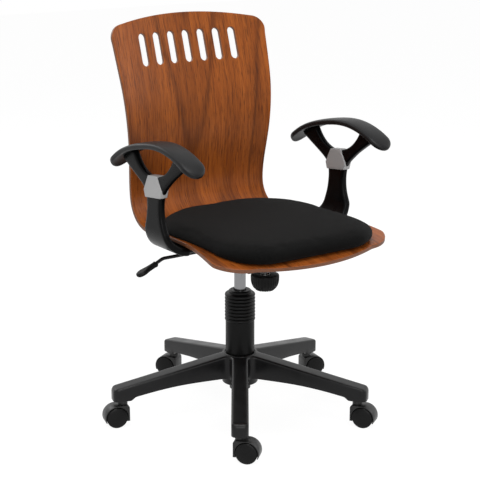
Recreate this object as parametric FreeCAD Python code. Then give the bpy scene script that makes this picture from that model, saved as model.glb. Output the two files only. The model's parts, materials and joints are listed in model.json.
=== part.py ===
import FreeCAD
import Part
import math
import os

# Swivel chair with a bent plywood shell, T armrests and a five-arm base.
# Millimetres. The origin is on the floor under the swivel axis, +Z is up,
# the chair faces -Y and the sitter's right hand is on the -X side.

Vector = FreeCAD.Vector
origin = Vector(0, 0, 0)
x_axis = Vector(1, 0, 0)
y_axis = Vector(0, 1, 0)
z_axis = Vector(0, 0, 1)

# Clearances
running_gap = 0.05
seat_gap = 0.2
soft_gap = 0.4

# Cutters reach past the piece they cut
overshoot = 1.0
spare = 30.0
far = 600.0
below_seat_z = 400.0
above_cushion_z = 520.0
below_pad_z = 500.0
above_pad_z = 760.0

# Casters
wheel_radius = 25.0
wheel_outer_face = 22.5
wheel_rim_face = 18.5
wheel_inner_face = 4.0
wheel_edge_round = 3.0
wheel_inner_chamfer = 1.0
hood_half_width = 17.5
hood_wall = 2.2
hood_wheel_gap = 1.2
hood_web_half = 3.0
hood_low_z = 14.0
hood_leg_reach = 30.5
hood_leg_round = 6.0
axle_radius = 3.0
axle_half_length = 18.0
axle_end_gap = 0.5
caster_trail = 18.0
stem_radius = 5.5
stem_floor = 0.8
stem_length_in_arm = 26.0
stem_flange_radius = 9.0
stem_flange_thick = 1.5
boss_radius = 11.0
boss_rise = 8.1
socket_wall = 2.4
socket_flange_radius = 10.0
socket_flange_thick = 1.5

# Star base, its heights counted from the face that the casters stand against
arm_count = 5
first_arm_angle = 235.0
arm_tip_reach = 315.0
stem_circle = arm_tip_reach - 25.0
arm_half_width = 19.5
arm_tip_round = 12.0
arm_corner_round = 15.0
arm_edge_round = 5.0
arm_face_z = (2 * wheel_radius + hood_wheel_gap + hood_wall + boss_rise
              + stem_flange_thick + seat_gap + socket_flange_thick)
arm_top_at_axis = arm_face_z + 92.8
arm_top_slope = 63.5 / arm_tip_reach
arm_tip_top_round = 9.0
arm_boss_inner = stem_circle - 17.0
arm_low_outer_z = arm_face_z + 6.3
arm_low_middle_r = arm_tip_reach / 2
arm_low_middle_z = arm_face_z + 23.3
arm_low_inner_z = arm_face_z + 28.3
base_wall = 3.6
rib_wall = 3.0
rib_radii = (arm_tip_reach * 0.38, arm_tip_reach * 0.6)
hub_radius = 43.0
hub_low_z = arm_face_z + 12.3
hub_ring_radius = 38.0
hub_ring_drop = 12.0
hub_chamfer = 2.0
hub_rim = 1.0
hub_top_z = arm_face_z + 85.3
caster_headings = (311.0, 302.0, 350.0, 120.0, 165.0)

# Column
tube_radius = 25.0
tube_wall = 1.5
tube_low_z = 60.0
tube_top_z = 300.0
tube_floor = 4.0
sleeve_radius = 34.5
sleeve_wall = 2.2
sleeve_top_z = 236.0
bellows_radius = 36.3
bellows_wall = 1.5
bellows_low_z = 231.0
bellows_top_z = 299.0
bellows_pleats = 8
pleat_depth = 3.0
pleat_outline = ((0.0, 0.6), (0.25, 0.0), (0.65, 0.0), (0.9, 1.0))
cuff_wall = 0.4
mouth_gap = 0.6
top_collar_radius = 27.5
top_collar_z = 307.0
top_collar_chamfer = 2.0
top_collar_nose = 3.0
cylinder_radius = 14.0
cylinder_wall = 2.0
cylinder_low_z = 136.0
cylinder_plug = 12.0
cylinder_chamfer = 1.0
valve_plug = 4.0
cylinder_top_z = 404.0
taper_low_z = 366.0
taper_top_radius = 13.2
bush_low_z = 215.0
bush_recess = 1.0
piston_rod_radius = 5.0
piston_low_z = 206.0
piston_height = 12.0
rod_low_z = 56.0
rod_collar_height = 3.0
bearing_radius = 12.0
bearing_height = 6.0
race_thick = 1.5
ball_count = 10
clip_radius = 9.0
clip_thick = 2.0
clip_groove = 1.0
clip_mouth_half = 2.5
pin_radius = 4.0
pin_low_z = 374.0

# Tilt mechanism
housing_half_width = 62.0
housing_front_y = -122.0
housing_rear_y = 72.0
housing_floor_z = 385.0
housing_plate = 3.0
housing_high_z = 426.0
housing_rear_z = 398.0
housing_nose_z = 399.0
housing_high_ys = (-92.0, 15.0)
socket_radius = 19.0
socket_low_z = 372.0
socket_recess = 4.0
pivot_y = -50.0
pivot_z = 414.0
pivot_radius = 5.0
pivot_head = 3.0
pivot_head_rim = 2.0
pivot_head_gap = 0.5
bush_wall = 2.0
tilt_limit = 12.0
seat_plate_half_width = 88.0
seat_plate_front_y = -128.0
seat_plate_rear_y = 88.0
seat_plate_low_z = 443.0
seat_plate_thick = 4.0
seat_plate_corner = 18.0
ear_half_length = 13.0
ear_thick = 4.0
ear_gap = 0.6
knob_y = -100.0
knob_radius = 33.0
knob_top_z = 369.0
knob_straight_z = 354.0
knob_low_z = 329.5
knob_nose_radius = 14.0
knob_rim_chamfer = 1.5
knob_taper = 1.0
knob_bulge = (0.8, 0.27)
knob_floor = 11.0
knob_well_gap = 1.5
tension_bolt_radius = 4.0
tension_head_radius = 9.0
tension_head_height = 3.0
tension_slot_room = 1.5
spring_seat_z = 352.0
spring_radius = 11.0
spring_wire = 1.8
spring_turns = 5
spring_washer = 1.2
spring_washer_gap = 1.0

# Height lever
lever_radius = 4.0
lever_z = 418.0
lever_inner_x = 9.0
lever_bend_x = -213.0
lever_grip_x = -229.0
lever_grip_z = 409.0
lever_end_x = -281.0
lever_end_z = 388.0
grip_half_width = 12.0
grip_half_height = 6.5
grip_neck = 6.0
grip_neck_share = 0.3
rod_in_grip = 22.0

# Shell, each section as (edge y, edge z, inset of the edge, centre y, centre z)
shell_thick = 9.0
shell_half_width = 238.0
seat_centre_z = 462.0
fold_top_z = 509.0
section_top_z = 938.0
shell_sections = (
    (-330.0, 446.0, 2.0, -334.0, 447.5),
    (-287.0, 456.5, 1.0, -290.0, 455.5),
    (-245.0, 464.0, 2.0, -247.0, 459.5),
    (-200.0, 470.5, 8.0, -201.0, 461.5),
    (-140.0, 475.0, 19.0, -140.0, seat_centre_z),
    (-60.0, 474.0, 29.0, -60.0, seat_centre_z),
    (20.0, 469.0, 38.0, 20.0, seat_centre_z),
    (85.0, 461.0, 45.0, 92.0, 461.0),
    (127.0, 464.5, 47.5, 142.0, 465.0),
    (155.0, 482.0, 48.0, 176.0, 484.0),
    (169.0, 507.0, 48.0, 192.0, fold_top_z),
    (172.0, 538.0, 47.0, 197.0, 539.0),
    (167.0, 588.0, 44.0, 192.0, 588.0),
    (159.0, 645.0, 39.5, 185.0, 645.0),
    (157.0, 700.0, 35.0, 184.0, 700.0),
    (164.0, 765.0, 30.5, 192.0, 765.0),
    (180.0, 825.0, 27.0, 208.0, 826.0),
    (206.0, 909.0, 23.0, 234.0, 910.0),
    (221.0, 955.0, 21.0, 249.0, 956.0),
)
flat_limit = 0.05
back_top_z = 938.0
back_shoulder_z = back_top_z - 16.0
back_corner_round = 34.0
back_top_inset = 22.0
back_step = 40.0
front_centre_y = -320.0
front_corner_y = -290.0
front_corner_round = 80.0
slot_count = 7
slot_pitch = 42.0
slot_width = 20.0
slot_low_z = back_top_z - 115.0
slot_high_z = back_top_z - 41.0

# Cushion, outline and levels, each level as (share of the height, inset)
cushion_half_width = shell_half_width - 32.0
cushion_front_y = -304.0
cushion_rear_y = 128.0
cushion_front_round = 105.0
cushion_rear_round = 150.0
cushion_height = 40.0
cushion_levels = (
    (-0.55, 14.0), (0.0, 14.0), (0.25, 4.0), (0.45, 0.0), (0.66, 5.0), (0.85, 25.0), (1.0, 80.0),
)
cushion_depth_cut = 90.0
board_thick = 6.0
board_inset = 28.0
board_screw_spots = ((-125.0, 55.0), (125.0, 55.0), (-125.0, -195.0), (125.0, -195.0))
board_screw_radius = 2.0
board_screw_head = 4.0
board_screw_head_height = 2.0
board_screw_cover = 2.0

# Fasteners of mechanism and arms
bolt_radius = 3.0
bolt_head_radius = 6.0
bolt_head_height = 4.0
bolt_sides = 6
bolt_recess = 2.0
nut_wall = 1.5
nut_cover = 2.0
nut_flange_radius = 9.0
nut_flange_thick = 1.2
seat_bolt_spots = ((-68.0, -78.0), (68.0, -78.0), (-68.0, 66.0), (68.0, 66.0))
spacer_radius = 13.0
spacer_reach = 20.0
arm_bolt_x = 165.0
arm_bolt_ys = (-64.0, -26.0)

# Armrests
arm_outer_x = shell_half_width + 25.0
arm_thick = 16.0
arm_leg_low_z = 445.0
arm_leg_end_x = 135.0
arm_leg_end_z = 490.0
arm_leg_knee_x = 199.0
arm_leg_root_room = 4.0
arm_leg_root_ys = (-102.0, 12.0)
arm_leg_knee_ys = (-85.0, -5.0)
arm_leg_end_ys = (-80.0, -10.0)
elbow_radius = 60.0
pad_half_width = 27.0
pad_thick = 14.0
pad_rear_trim = 4.0
pad_line = (
    (135.0, 616.0), (121.0, 633.0), (101.0, 649.0), (72.0, 666.0), (37.0, 680.0), (-21.0, 694.0),
    (-78.0, 701.0), (-123.0, 698.0), (-165.0, 687.0), (-198.0, 672.0), (-221.0, 656.0),
)
rear_outline = (
    (12.0, 437.0), (9.0, 470.0), (-3.0, 500.0), (-11.0, 522.0), (-15.0, 545.0), (-15.5, 568.0),
    (-9.5, 586.0), (10.0, 601.5), (35.0, 615.0), (60.0, 628.0), (92.0, 646.0),
)
front_outline = (
    (-190.0, 668.0), (-170.0, 658.0), (-144.0, 641.5), (-120.0, 625.0), (-97.0, 606.0), (-80.5, 589.0),
    (-73.0, 570.0), (-71.5, 550.0), (-74.0, 528.0), (-85.0, 500.0), (-98.0, 470.0), (-101.0, 437.0),
)
hole_low_line = (
    (40.0, 676.0), (26.0, 655.0), (9.0, 638.0), (-12.0, 626.5), (-40.0, 621.0), (-68.0, 625.0),
    (-92.0, 636.0), (-110.0, 651.0), (-124.0, 669.0), (-133.0, 688.0),
)
collar_wall = 1.6
collar_low_z = 574.5
collar_band_z = 591.8
collar_top_z = 624.0
collar_top_half = 18.5
collar_middle_y = -45.0
collar_band_half = 37.0
collar_foot_half = 31.5
collar_lean = 6.2


def cylinder(radius, low_z, high_z, x=0.0, y=0.0):
    """Upright cylinder between two heights."""
    return Part.makeCylinder(radius, high_z - low_z, Vector(x, y, low_z), z_axis)


def tube(outer, inner, low_z, high_z, x=0.0, y=0.0):
    """Upright tube between two heights."""
    bore = cylinder(inner, low_z - overshoot, high_z + overshoot, x, y)
    return cylinder(outer, low_z, high_z, x, y).cut(bore)


def block(low_x, high_x, low_y, high_y, low_z, high_z):
    """Box between two corners."""
    return Part.makeBox(high_x - low_x, high_y - low_y, high_z - low_z, Vector(low_x, low_y, low_z))


def spun(points):
    """Solid of revolution of a closed outline of (radius, height) points."""
    corners = [Vector(radius, 0, height) for radius, height in points]
    outline = Part.makePolygon(corners + corners[:1])
    return Part.Face(outline).revolve(origin, z_axis, 360)


def placed_on_axis(shape, centre, axis):
    """Turn a shape made about Z onto another axis and move it to a centre."""
    turn = FreeCAD.Rotation(z_axis, axis)
    shape.Placement = FreeCAD.Placement(centre, turn).multiply(shape.Placement)
    return shape


def turned(shape, degrees):
    """Copy of a shape turned about the swivel axis."""
    copy = shape.copy()
    copy.rotate(origin, z_axis, degrees)
    return copy


def mirrored(shape):
    """The same piece on the other side of the chair."""
    return shape.mirror(origin, x_axis)


def joined(shapes):
    """One solid from touching shapes."""
    whole = shapes[0].multiFuse(list(shapes[1:]))
    return whole.removeSplitter()


def curve(points):
    """Smooth edge through points."""
    line = Part.BSplineCurve()
    line.interpolate(points)
    return line.toShape()


def straight(start, end):
    return Part.LineSegment(start, end).toShape()


def prism(edges, travel):
    """Solid that a closed flat outline of edges sweeps."""
    return Part.Face(Part.Wire(Part.__sortEdges__(edges))).extrude(travel)


def polygon_prism(corners, travel):
    """Solid that a closed flat outline of corners sweeps."""
    return Part.Face(Part.makePolygon(corners + corners[:1])).extrude(travel)


def save(name, shape):
    """Write one node, after a look at its solids."""
    solids = shape.Solids
    if not solids or not shape.isValid():
        raise ValueError("bad shape in " + name)
    if len(solids) == 1:
        shape = solids[0]
    shape.exportStep("parts/" + name + ".step")


# Star base
def arm_top_z(radius):
    return arm_top_at_axis - arm_top_slope * radius


def arm_profile():
    """Side outline of the arms, spun about the swivel axis."""
    tip_z = arm_top_z(arm_tip_reach)
    round_r = arm_tip_reach - arm_tip_top_round
    diagonal = arm_tip_top_round * (1 - math.sqrt(0.5))
    inner = Vector(0, 0, arm_low_inner_z)
    top = Vector(0, 0, arm_top_z(0))
    round_start = Vector(round_r, 0, arm_top_z(round_r))
    round_middle = Vector(arm_tip_reach - diagonal, 0, tip_z - diagonal)
    round_end = Vector(arm_tip_reach, 0, tip_z - arm_tip_top_round)
    tip_low = Vector(arm_tip_reach, 0, arm_face_z)
    boss_low = Vector(arm_boss_inner, 0, arm_face_z)
    boss_high = Vector(arm_boss_inner, 0, arm_low_outer_z)
    middle = Vector(arm_low_middle_r, 0, arm_low_middle_z)
    edges = [
        straight(top, round_start),
        Part.Arc(round_start, round_middle, round_end).toShape(),
        straight(round_end, tip_low),
        straight(tip_low, boss_low),
        straight(boss_low, boss_high),
        Part.Arc(boss_high, middle, inner).toShape(),
        straight(inner, top),
    ]
    return Part.Face(Part.Wire(edges)).revolve(origin, z_axis, 360)


def star_outline():
    """Plan outline of all arms, with rounded tips and round inner corners."""
    half_step = math.radians(180.0 / arm_count)
    corner_centre = (arm_half_width + arm_corner_round) / math.sin(half_step)
    corner_start = (arm_half_width + arm_corner_round) / math.tan(half_step)
    tip_start = arm_tip_reach - arm_tip_round
    tip_side = arm_half_width - arm_tip_round
    bulge = arm_tip_round * math.sqrt(0.5)
    edges = []
    for index in range(arm_count):
        angle = math.radians(first_arm_angle) + 2 * half_step * index

        def spot(along, across):
            x = along * math.cos(angle) - across * math.sin(angle)
            y = along * math.sin(angle) + across * math.cos(angle)
            return Vector(x, y, hub_low_z)

        def tip_arc(side):
            start = spot(tip_start, side * arm_half_width)
            middle = spot(tip_start + bulge, side * (tip_side + bulge))
            end = spot(arm_tip_reach, side * tip_side)
            return Part.Arc(start, middle, end).toShape()

        next_angle = angle + 2 * half_step
        bisector = angle + half_step
        inner = corner_centre - arm_corner_round
        corner_start_point = spot(corner_start, arm_half_width)
        corner_middle = Vector(inner * math.cos(bisector), inner * math.sin(bisector), hub_low_z)
        corner_end = Vector(
            corner_start * math.cos(next_angle) + arm_half_width * math.sin(next_angle),
            corner_start * math.sin(next_angle) - arm_half_width * math.cos(next_angle),
            hub_low_z,
        )
        edges += [
            straight(spot(corner_start, -arm_half_width), spot(tip_start, -arm_half_width)),
            tip_arc(-1),
            straight(spot(arm_tip_reach, -tip_side), spot(arm_tip_reach, tip_side)),
            tip_arc(1),
            straight(spot(tip_start, arm_half_width), corner_start_point),
            Part.Arc(corner_start_point, corner_middle, corner_end).toShape(),
        ]
    outline = Part.Face(Part.Wire(Part.__sortEdges__(edges)))
    outline.translate(Vector(0, 0, arm_face_z - hub_low_z - overshoot))
    return outline.extrude(Vector(0, 0, arm_top_at_axis))


def arm_pockets():
    """Hollows under the arms, between the cross ribs."""
    stations = (hub_radius + base_wall,) + rib_radii + (arm_boss_inner - base_wall,)
    pockets = []
    for start, end in zip(stations[:-1], stations[1:]):
        inner = start + rib_wall / 2
        outer = end - rib_wall / 2
        side = arm_half_width - base_wall
        corners = [
            Vector(inner, -side, arm_face_z - spare),
            Vector(outer, -side, arm_face_z - spare),
            Vector(outer, -side, arm_top_z(outer) - base_wall),
            Vector(inner, -side, arm_top_z(inner) - base_wall),
        ]
        pockets.append(polygon_prism(corners, Vector(0, 2 * side, 0)))
    return pockets


def arm_angles():
    return [first_arm_angle + 360.0 / arm_count * index for index in range(arm_count)]


def stem_spots():
    spots = []
    for angle in arm_angles():
        x = stem_circle * math.cos(math.radians(angle))
        y = stem_circle * math.sin(math.radians(angle))
        spots.append((x, y))
    return spots


def make_star_base():
    arms = arm_profile().common(star_outline())
    top_edges = [edge for edge in arms.Edges if is_arm_top_edge(edge)]
    arms = arms.makeFillet(arm_edge_round, top_edges)
    hub = spun([
        (0, hub_low_z), (hub_radius - hub_chamfer, hub_low_z), (hub_radius, hub_low_z + hub_chamfer),
        (hub_radius, hub_top_z - hub_ring_drop), (hub_ring_radius, hub_top_z - hub_chamfer),
        (hub_ring_radius - hub_rim, hub_top_z), (0, hub_top_z),
    ])
    base = joined([arms, hub])
    cutters = [
        cylinder(tube_radius + running_gap, hub_low_z - overshoot, arm_top_at_axis + overshoot),
        cylinder(hub_ring_radius - hub_rim, hub_top_z, arm_top_at_axis + overshoot),
    ]
    for angle in arm_angles():
        cutters += [turned(pocket, angle) for pocket in arm_pockets()]
    bore = stem_radius + running_gap + socket_wall
    for x, y in stem_spots():
        cutters.append(cylinder(bore, arm_face_z - overshoot, arm_face_z + stem_length_in_arm, x, y))
    return base.cut(cutters)


def is_arm_top_edge(edge):
    """True for the long outline edges along the top of the arms."""
    for vertex in edge.Vertexes:
        point = vertex.Point
        radius = math.hypot(point.x, point.y)
        if radius > arm_tip_reach - arm_tip_top_round + overshoot:
            return False
        if abs(point.z - arm_top_z(radius)) > seat_gap:
            return False
    middle = edge.valueAt((edge.FirstParameter + edge.LastParameter) / 2)
    return math.hypot(middle.x, middle.y) > arm_half_width and middle.z > arm_face_z


def make_stem_sockets():
    """Five lined sockets in the arm tips, one node."""
    bore = stem_radius + running_gap
    sockets = []
    for x, y in stem_spots():
        liner = tube(bore + socket_wall, bore, arm_face_z, arm_face_z + stem_length_in_arm, x, y)
        flange = tube(socket_flange_radius, bore, arm_face_z - socket_flange_thick, arm_face_z, x, y)
        sockets.append(joined([liner, flange]))
    return Part.makeCompound(sockets)


# Casters, made about the stem axis with the wheels trailing towards -X
def caster_hood():
    centre = Vector(-caster_trail, 0, wheel_radius)
    drum_radius = wheel_radius + hood_wheel_gap + hood_wall
    drum = Part.makeCylinder(drum_radius, 2 * hood_half_width, centre - y_axis * hood_half_width, y_axis)
    leg_high = wheel_radius + drum_radius
    leg = block(-caster_trail, hood_leg_reach - caster_trail, -hood_half_width, hood_half_width,
                hood_low_z, leg_high)
    top_edges = [edge for edge in leg.Edges if edge_at(edge, hood_leg_reach - caster_trail, leg_high)]
    leg = leg.makeFillet(hood_leg_round, top_edges)
    boss_top = arm_face_z - socket_flange_thick - seat_gap - stem_flange_thick
    hood = joined([drum, leg, cylinder(boss_radius, wheel_radius, boss_top)])
    hood = hood.cut(block(-far, far, -far, far, -far, hood_low_z))
    well_radius = wheel_radius + hood_wheel_gap
    for side in (-1, 1):
        start = centre + y_axis * (side * hood_web_half)
        hood = hood.cut(Part.makeCylinder(well_radius, far, start, y_axis * side))
    web = Part.makeCylinder(drum_radius, 2 * hood_web_half, centre - y_axis * hood_web_half, y_axis)
    web = web.cut(block(-far, far, -far, far, -far, hood_low_z))
    hood = joined([hood, web])
    hood = hood.cut(Part.makeCylinder(axle_radius, 2 * spare, centre - y_axis * spare, y_axis))
    return hood.cut(cylinder(stem_radius, stem_low_z(), arm_face_z))


def edge_at(edge, x, z):
    """True for an edge that runs along Y at the given x and z."""
    return all(abs(v.Point.x - x) < running_gap and abs(v.Point.z - z) < running_gap for v in edge.Vertexes)


def stem_low_z():
    """The stem ends in the hood above the wheel wells."""
    well = wheel_radius + hood_wheel_gap
    return wheel_radius + math.sqrt(well ** 2 - (caster_trail - stem_radius) ** 2) + stem_floor


def caster_stem():
    flange_top = arm_face_z - socket_flange_thick - seat_gap
    top = arm_face_z + stem_length_in_arm - overshoot
    shaft = cylinder(stem_radius, stem_low_z(), top)
    flange = cylinder(stem_flange_radius, flange_top - stem_flange_thick, flange_top)
    return joined([shaft, flange])


def caster_axle():
    start = Vector(-caster_trail, -axle_half_length, wheel_radius)
    return Part.makeCylinder(axle_radius, 2 * axle_half_length, start, y_axis)


def caster_wheel(side):
    """One wheel, domed outside, bored for the axle."""
    bore = axle_radius + running_gap
    dome_radius = (wheel_radius ** 2 + (wheel_outer_face - wheel_rim_face) ** 2) / (
        2 * (wheel_outer_face - wheel_rim_face))
    rim = Vector(wheel_radius, 0, wheel_rim_face - wheel_edge_round / 2)
    dome_start_r = wheel_radius - wheel_edge_round / 2
    dome_start = Vector(dome_start_r, 0, dome_height(dome_start_r, dome_radius))
    dome_middle_r = dome_start_r / 2
    dome_middle = Vector(dome_middle_r, 0, dome_height(dome_middle_r, dome_radius))
    crown = Vector(0, 0, wheel_outer_face)
    bore_end = axle_half_length + axle_end_gap
    corner_r = wheel_radius - wheel_inner_chamfer
    corner_z = wheel_inner_face + wheel_inner_chamfer
    edges = [
        straight(rim, dome_start),
        Part.Arc(dome_start, dome_middle, crown).toShape(),
        straight(crown, Vector(0, 0, bore_end)),
        straight(Vector(0, 0, bore_end), Vector(bore, 0, bore_end)),
        straight(Vector(bore, 0, bore_end), Vector(bore, 0, wheel_inner_face)),
        straight(Vector(bore, 0, wheel_inner_face), Vector(corner_r, 0, wheel_inner_face)),
        straight(Vector(corner_r, 0, wheel_inner_face), Vector(wheel_radius, 0, corner_z)),
        straight(Vector(wheel_radius, 0, corner_z), rim),
    ]
    wheel = Part.Face(Part.Wire(edges)).revolve(origin, z_axis, 360)
    return placed_on_axis(wheel, Vector(-caster_trail, 0, wheel_radius), y_axis * side)


def dome_height(radius, dome_radius):
    return wheel_outer_face - dome_radius + math.sqrt(dome_radius ** 2 - radius ** 2)


def save_casters():
    pieces = {
        "hood": caster_hood(),
        "stem": caster_stem(),
        "axle": caster_axle(),
        "wheel_a": caster_wheel(1),
        "wheel_b": caster_wheel(-1),
    }
    for index, (x, y) in enumerate(stem_spots()):
        heading = caster_headings[index] + 180.0
        for name, piece in pieces.items():
            placed = turned(piece, heading)
            placed.translate(Vector(x, y, 0))
            save("caster_%d_%s" % (index + 1, name), placed)


# Column
def make_column_tube():
    inner = tube_radius - tube_wall
    wall = tube(tube_radius, inner, tube_low_z, tube_top_z)
    floor = tube(inner, piston_rod_radius + seat_gap, tube_low_z, tube_low_z + tube_floor)
    return joined([wall, floor])


def make_column_sleeve():
    """Plastic sleeve that stands on the hub and centres on the tube at its foot."""
    wall = tube(sleeve_radius, sleeve_radius - sleeve_wall, hub_top_z, sleeve_top_z)
    foot = tube(sleeve_radius, tube_radius + running_gap, hub_top_z, hub_top_z + sleeve_wall)
    return joined([wall, foot])


def make_bellows():
    """Ribbed cover on the sleeve, closed round the cylinder at its top."""
    pitch = (bellows_top_z - bellows_low_z) / bellows_pleats
    outer = []
    for index in range(bellows_pleats):
        low = bellows_low_z + pitch * index
        for along, inward in pleat_outline:
            outer.append((bellows_radius - pleat_depth * inward, low + pitch * along))
    inner_radius = bellows_radius - pleat_depth - bellows_wall
    cuff_radius = sleeve_radius + running_gap
    points = [(cuff_radius, bellows_low_z)]
    points += [(max(radius, cuff_radius + cuff_wall), z) if z < sleeve_top_z else (radius, z)
               for radius, z in outer]
    points += [
        (top_collar_radius + top_collar_chamfer, bellows_top_z),
        (top_collar_radius, bellows_top_z + top_collar_chamfer),
        (top_collar_radius, top_collar_z - top_collar_chamfer),
        (top_collar_radius - top_collar_nose, top_collar_z),
        (cylinder_radius + mouth_gap, top_collar_z),
        (cylinder_radius + mouth_gap, tube_top_z + seat_gap),
        (tube_radius + running_gap, tube_top_z + seat_gap),
        (tube_radius + running_gap, bellows_top_z - bellows_wall),
        (inner_radius, bellows_top_z - bellows_wall),
        (inner_radius, sleeve_top_z + running_gap),
        (cuff_radius, sleeve_top_z + running_gap),
    ]
    return spun(points)


def make_guide_bushing():
    outer = tube_radius - tube_wall
    return tube(outer, cylinder_radius + running_gap, bush_low_z, tube_top_z - bush_recess)


def make_piston_rod():
    """Rod with the piston on top and a collar on the thrust bearing."""
    rod = cylinder(piston_rod_radius, rod_low_z, piston_low_z)
    bore = cylinder_radius - cylinder_wall
    piston = cylinder(bore - running_gap, piston_low_z, piston_low_z + piston_height)
    collar_low = tube_low_z + tube_floor + bearing_height
    collar = cylinder(bearing_radius, collar_low, collar_low + rod_collar_height)
    groove = tube(piston_rod_radius + overshoot, piston_rod_radius - clip_groove, clip_low_z(),
                  clip_low_z() + clip_thick)
    return joined([rod, piston, collar]).cut(groove)


def clip_low_z():
    return tube_low_z - clip_thick - seat_gap / 2


def make_retaining_clip():
    """Spring clip in the groove of the rod, below the tube's floor."""
    low = clip_low_z()
    ring = tube(clip_radius, piston_rod_radius - clip_groove, low, low + clip_thick)
    mouth = block(0, far, -clip_mouth_half, clip_mouth_half, low - overshoot, low + clip_thick + overshoot)
    return ring.cut(mouth)


def make_thrust_bearing():
    """Ball race between the tube's floor and the rod's collar."""
    low = tube_low_z + tube_floor
    inner = piston_rod_radius + seat_gap
    lower = tube(bearing_radius, inner, low, low + race_thick)
    upper = tube(bearing_radius, inner, low + bearing_height - race_thick, low + bearing_height)
    ball_radius = bearing_height / 2 - race_thick
    ball_circle = (bearing_radius + inner) / 2
    balls = []
    for index in range(ball_count):
        angle = math.radians(360.0 / ball_count * index)
        spot = Vector(ball_circle * math.cos(angle), ball_circle * math.sin(angle), low + bearing_height / 2)
        balls.append(Part.makeSphere(ball_radius, spot))
    return Part.makeCompound([lower, upper] + balls)


def make_gas_cylinder():
    """Bright cylinder with a taper at its top and a plug at each end."""
    bore = cylinder_radius - cylinder_wall
    plug_rod = piston_rod_radius + running_gap
    plug_pin = pin_radius + running_gap
    top_plug_z = pin_low_z - valve_plug
    return spun([
        (plug_rod, cylinder_low_z), (cylinder_radius - cylinder_chamfer, cylinder_low_z),
        (cylinder_radius, cylinder_low_z + cylinder_chamfer),
        (cylinder_radius, taper_low_z), (taper_top_radius, cylinder_top_z), (plug_pin, cylinder_top_z),
        (plug_pin, top_plug_z), (bore, top_plug_z), (bore, cylinder_low_z + cylinder_plug),
        (plug_rod, cylinder_low_z + cylinder_plug),
    ])


def make_release_pin():
    """Valve pin, its top just under the lever."""
    return cylinder(pin_radius, pin_low_z, lever_z - lever_radius - seat_gap)


# Tilt mechanism
def plate_between(corners, low_x, high_x):
    """Plate with a side outline of (y, z) corners between two x values."""
    points = [Vector(low_x, y, z) for y, z in corners]
    return polygon_prism(points, Vector(high_x - low_x, 0, 0))


def cross_hole(radius, y, z, reach):
    """Cutter along X."""
    return Part.makeCylinder(radius, 2 * reach, Vector(-reach, y, z), x_axis)


def make_mechanism_housing():
    half = housing_half_width
    floor = block(-half, half, housing_front_y, housing_rear_y, housing_floor_z,
                  housing_floor_z + housing_plate)
    side = [
        (housing_front_y, housing_floor_z), (housing_rear_y, housing_floor_z),
        (housing_rear_y, housing_rear_z), (housing_high_ys[1], housing_high_z),
        (housing_high_ys[0], housing_high_z), (housing_front_y, housing_nose_z),
    ]
    left = plate_between(side, -half, -half + housing_plate)
    right = plate_between(side, half - housing_plate, half)
    socket = cylinder(socket_radius, socket_low_z, cylinder_top_z - socket_recess)
    rear_web = block(-half, half, housing_rear_y - housing_plate, housing_rear_y, housing_floor_z,
                     housing_rear_z)
    housing = joined([floor, left, right, socket, rear_web])
    taper_length = cylinder_top_z - taper_low_z
    taper = Part.makeCone(cylinder_radius, taper_top_radius, taper_length, Vector(0, 0, taper_low_z), z_axis)
    housing = housing.cut(taper)
    housing = housing.cut(cross_hole(pivot_radius, pivot_y, pivot_z, half + overshoot))
    hole_start = Vector(-half - overshoot, 0, lever_z)
    lever_hole = Part.makeCylinder(lever_radius + soft_gap, housing_plate + 2 * overshoot, hole_start, x_axis)
    slot = bolt_slot(housing_floor_z - overshoot, housing_floor_z + housing_plate + overshoot)
    return housing.cut([lever_hole, slot])


def bolt_slot(low_z, high_z):
    """Room that the tension bolt needs while the seat tilts."""
    radius = tension_bolt_radius + tension_slot_room
    arm_length = pivot_y - knob_y
    swing = (pivot_z - housing_floor_z + arm_length * math.sin(math.radians(tilt_limit))) * math.tan(
        math.radians(tilt_limit))
    front = cylinder(radius, low_z, high_z, 0, knob_y - swing)
    rear = cylinder(radius, low_z, high_z, 0, knob_y)
    middle = block(-radius, radius, knob_y - swing, knob_y, low_z, high_z)
    return joined([front, rear, middle])


def ear_inner_x():
    return housing_half_width + ear_gap


def make_pivot_pin():
    reach = ear_inner_x() + ear_thick + pivot_head_gap
    head = pivot_radius + pivot_head_rim
    pin = cross_hole(pivot_radius, pivot_y, pivot_z, reach)
    left = Part.makeCylinder(head, pivot_head, Vector(-reach - pivot_head, pivot_y, pivot_z), x_axis)
    right = Part.makeCylinder(head, pivot_head, Vector(reach, pivot_y, pivot_z), x_axis)
    return joined([pin, left, right])


def make_pivot_bushes():
    bushes = []
    for side in (-1, 1):
        start = Vector(side * ear_inner_x(), pivot_y, pivot_z)
        outer = Part.makeCylinder(pivot_radius + bush_wall, ear_thick, start, x_axis * side)
        bushes.append(outer.cut(cross_hole(pivot_radius + running_gap, pivot_y, pivot_z, far)))
    return Part.makeCompound(bushes)


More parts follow.
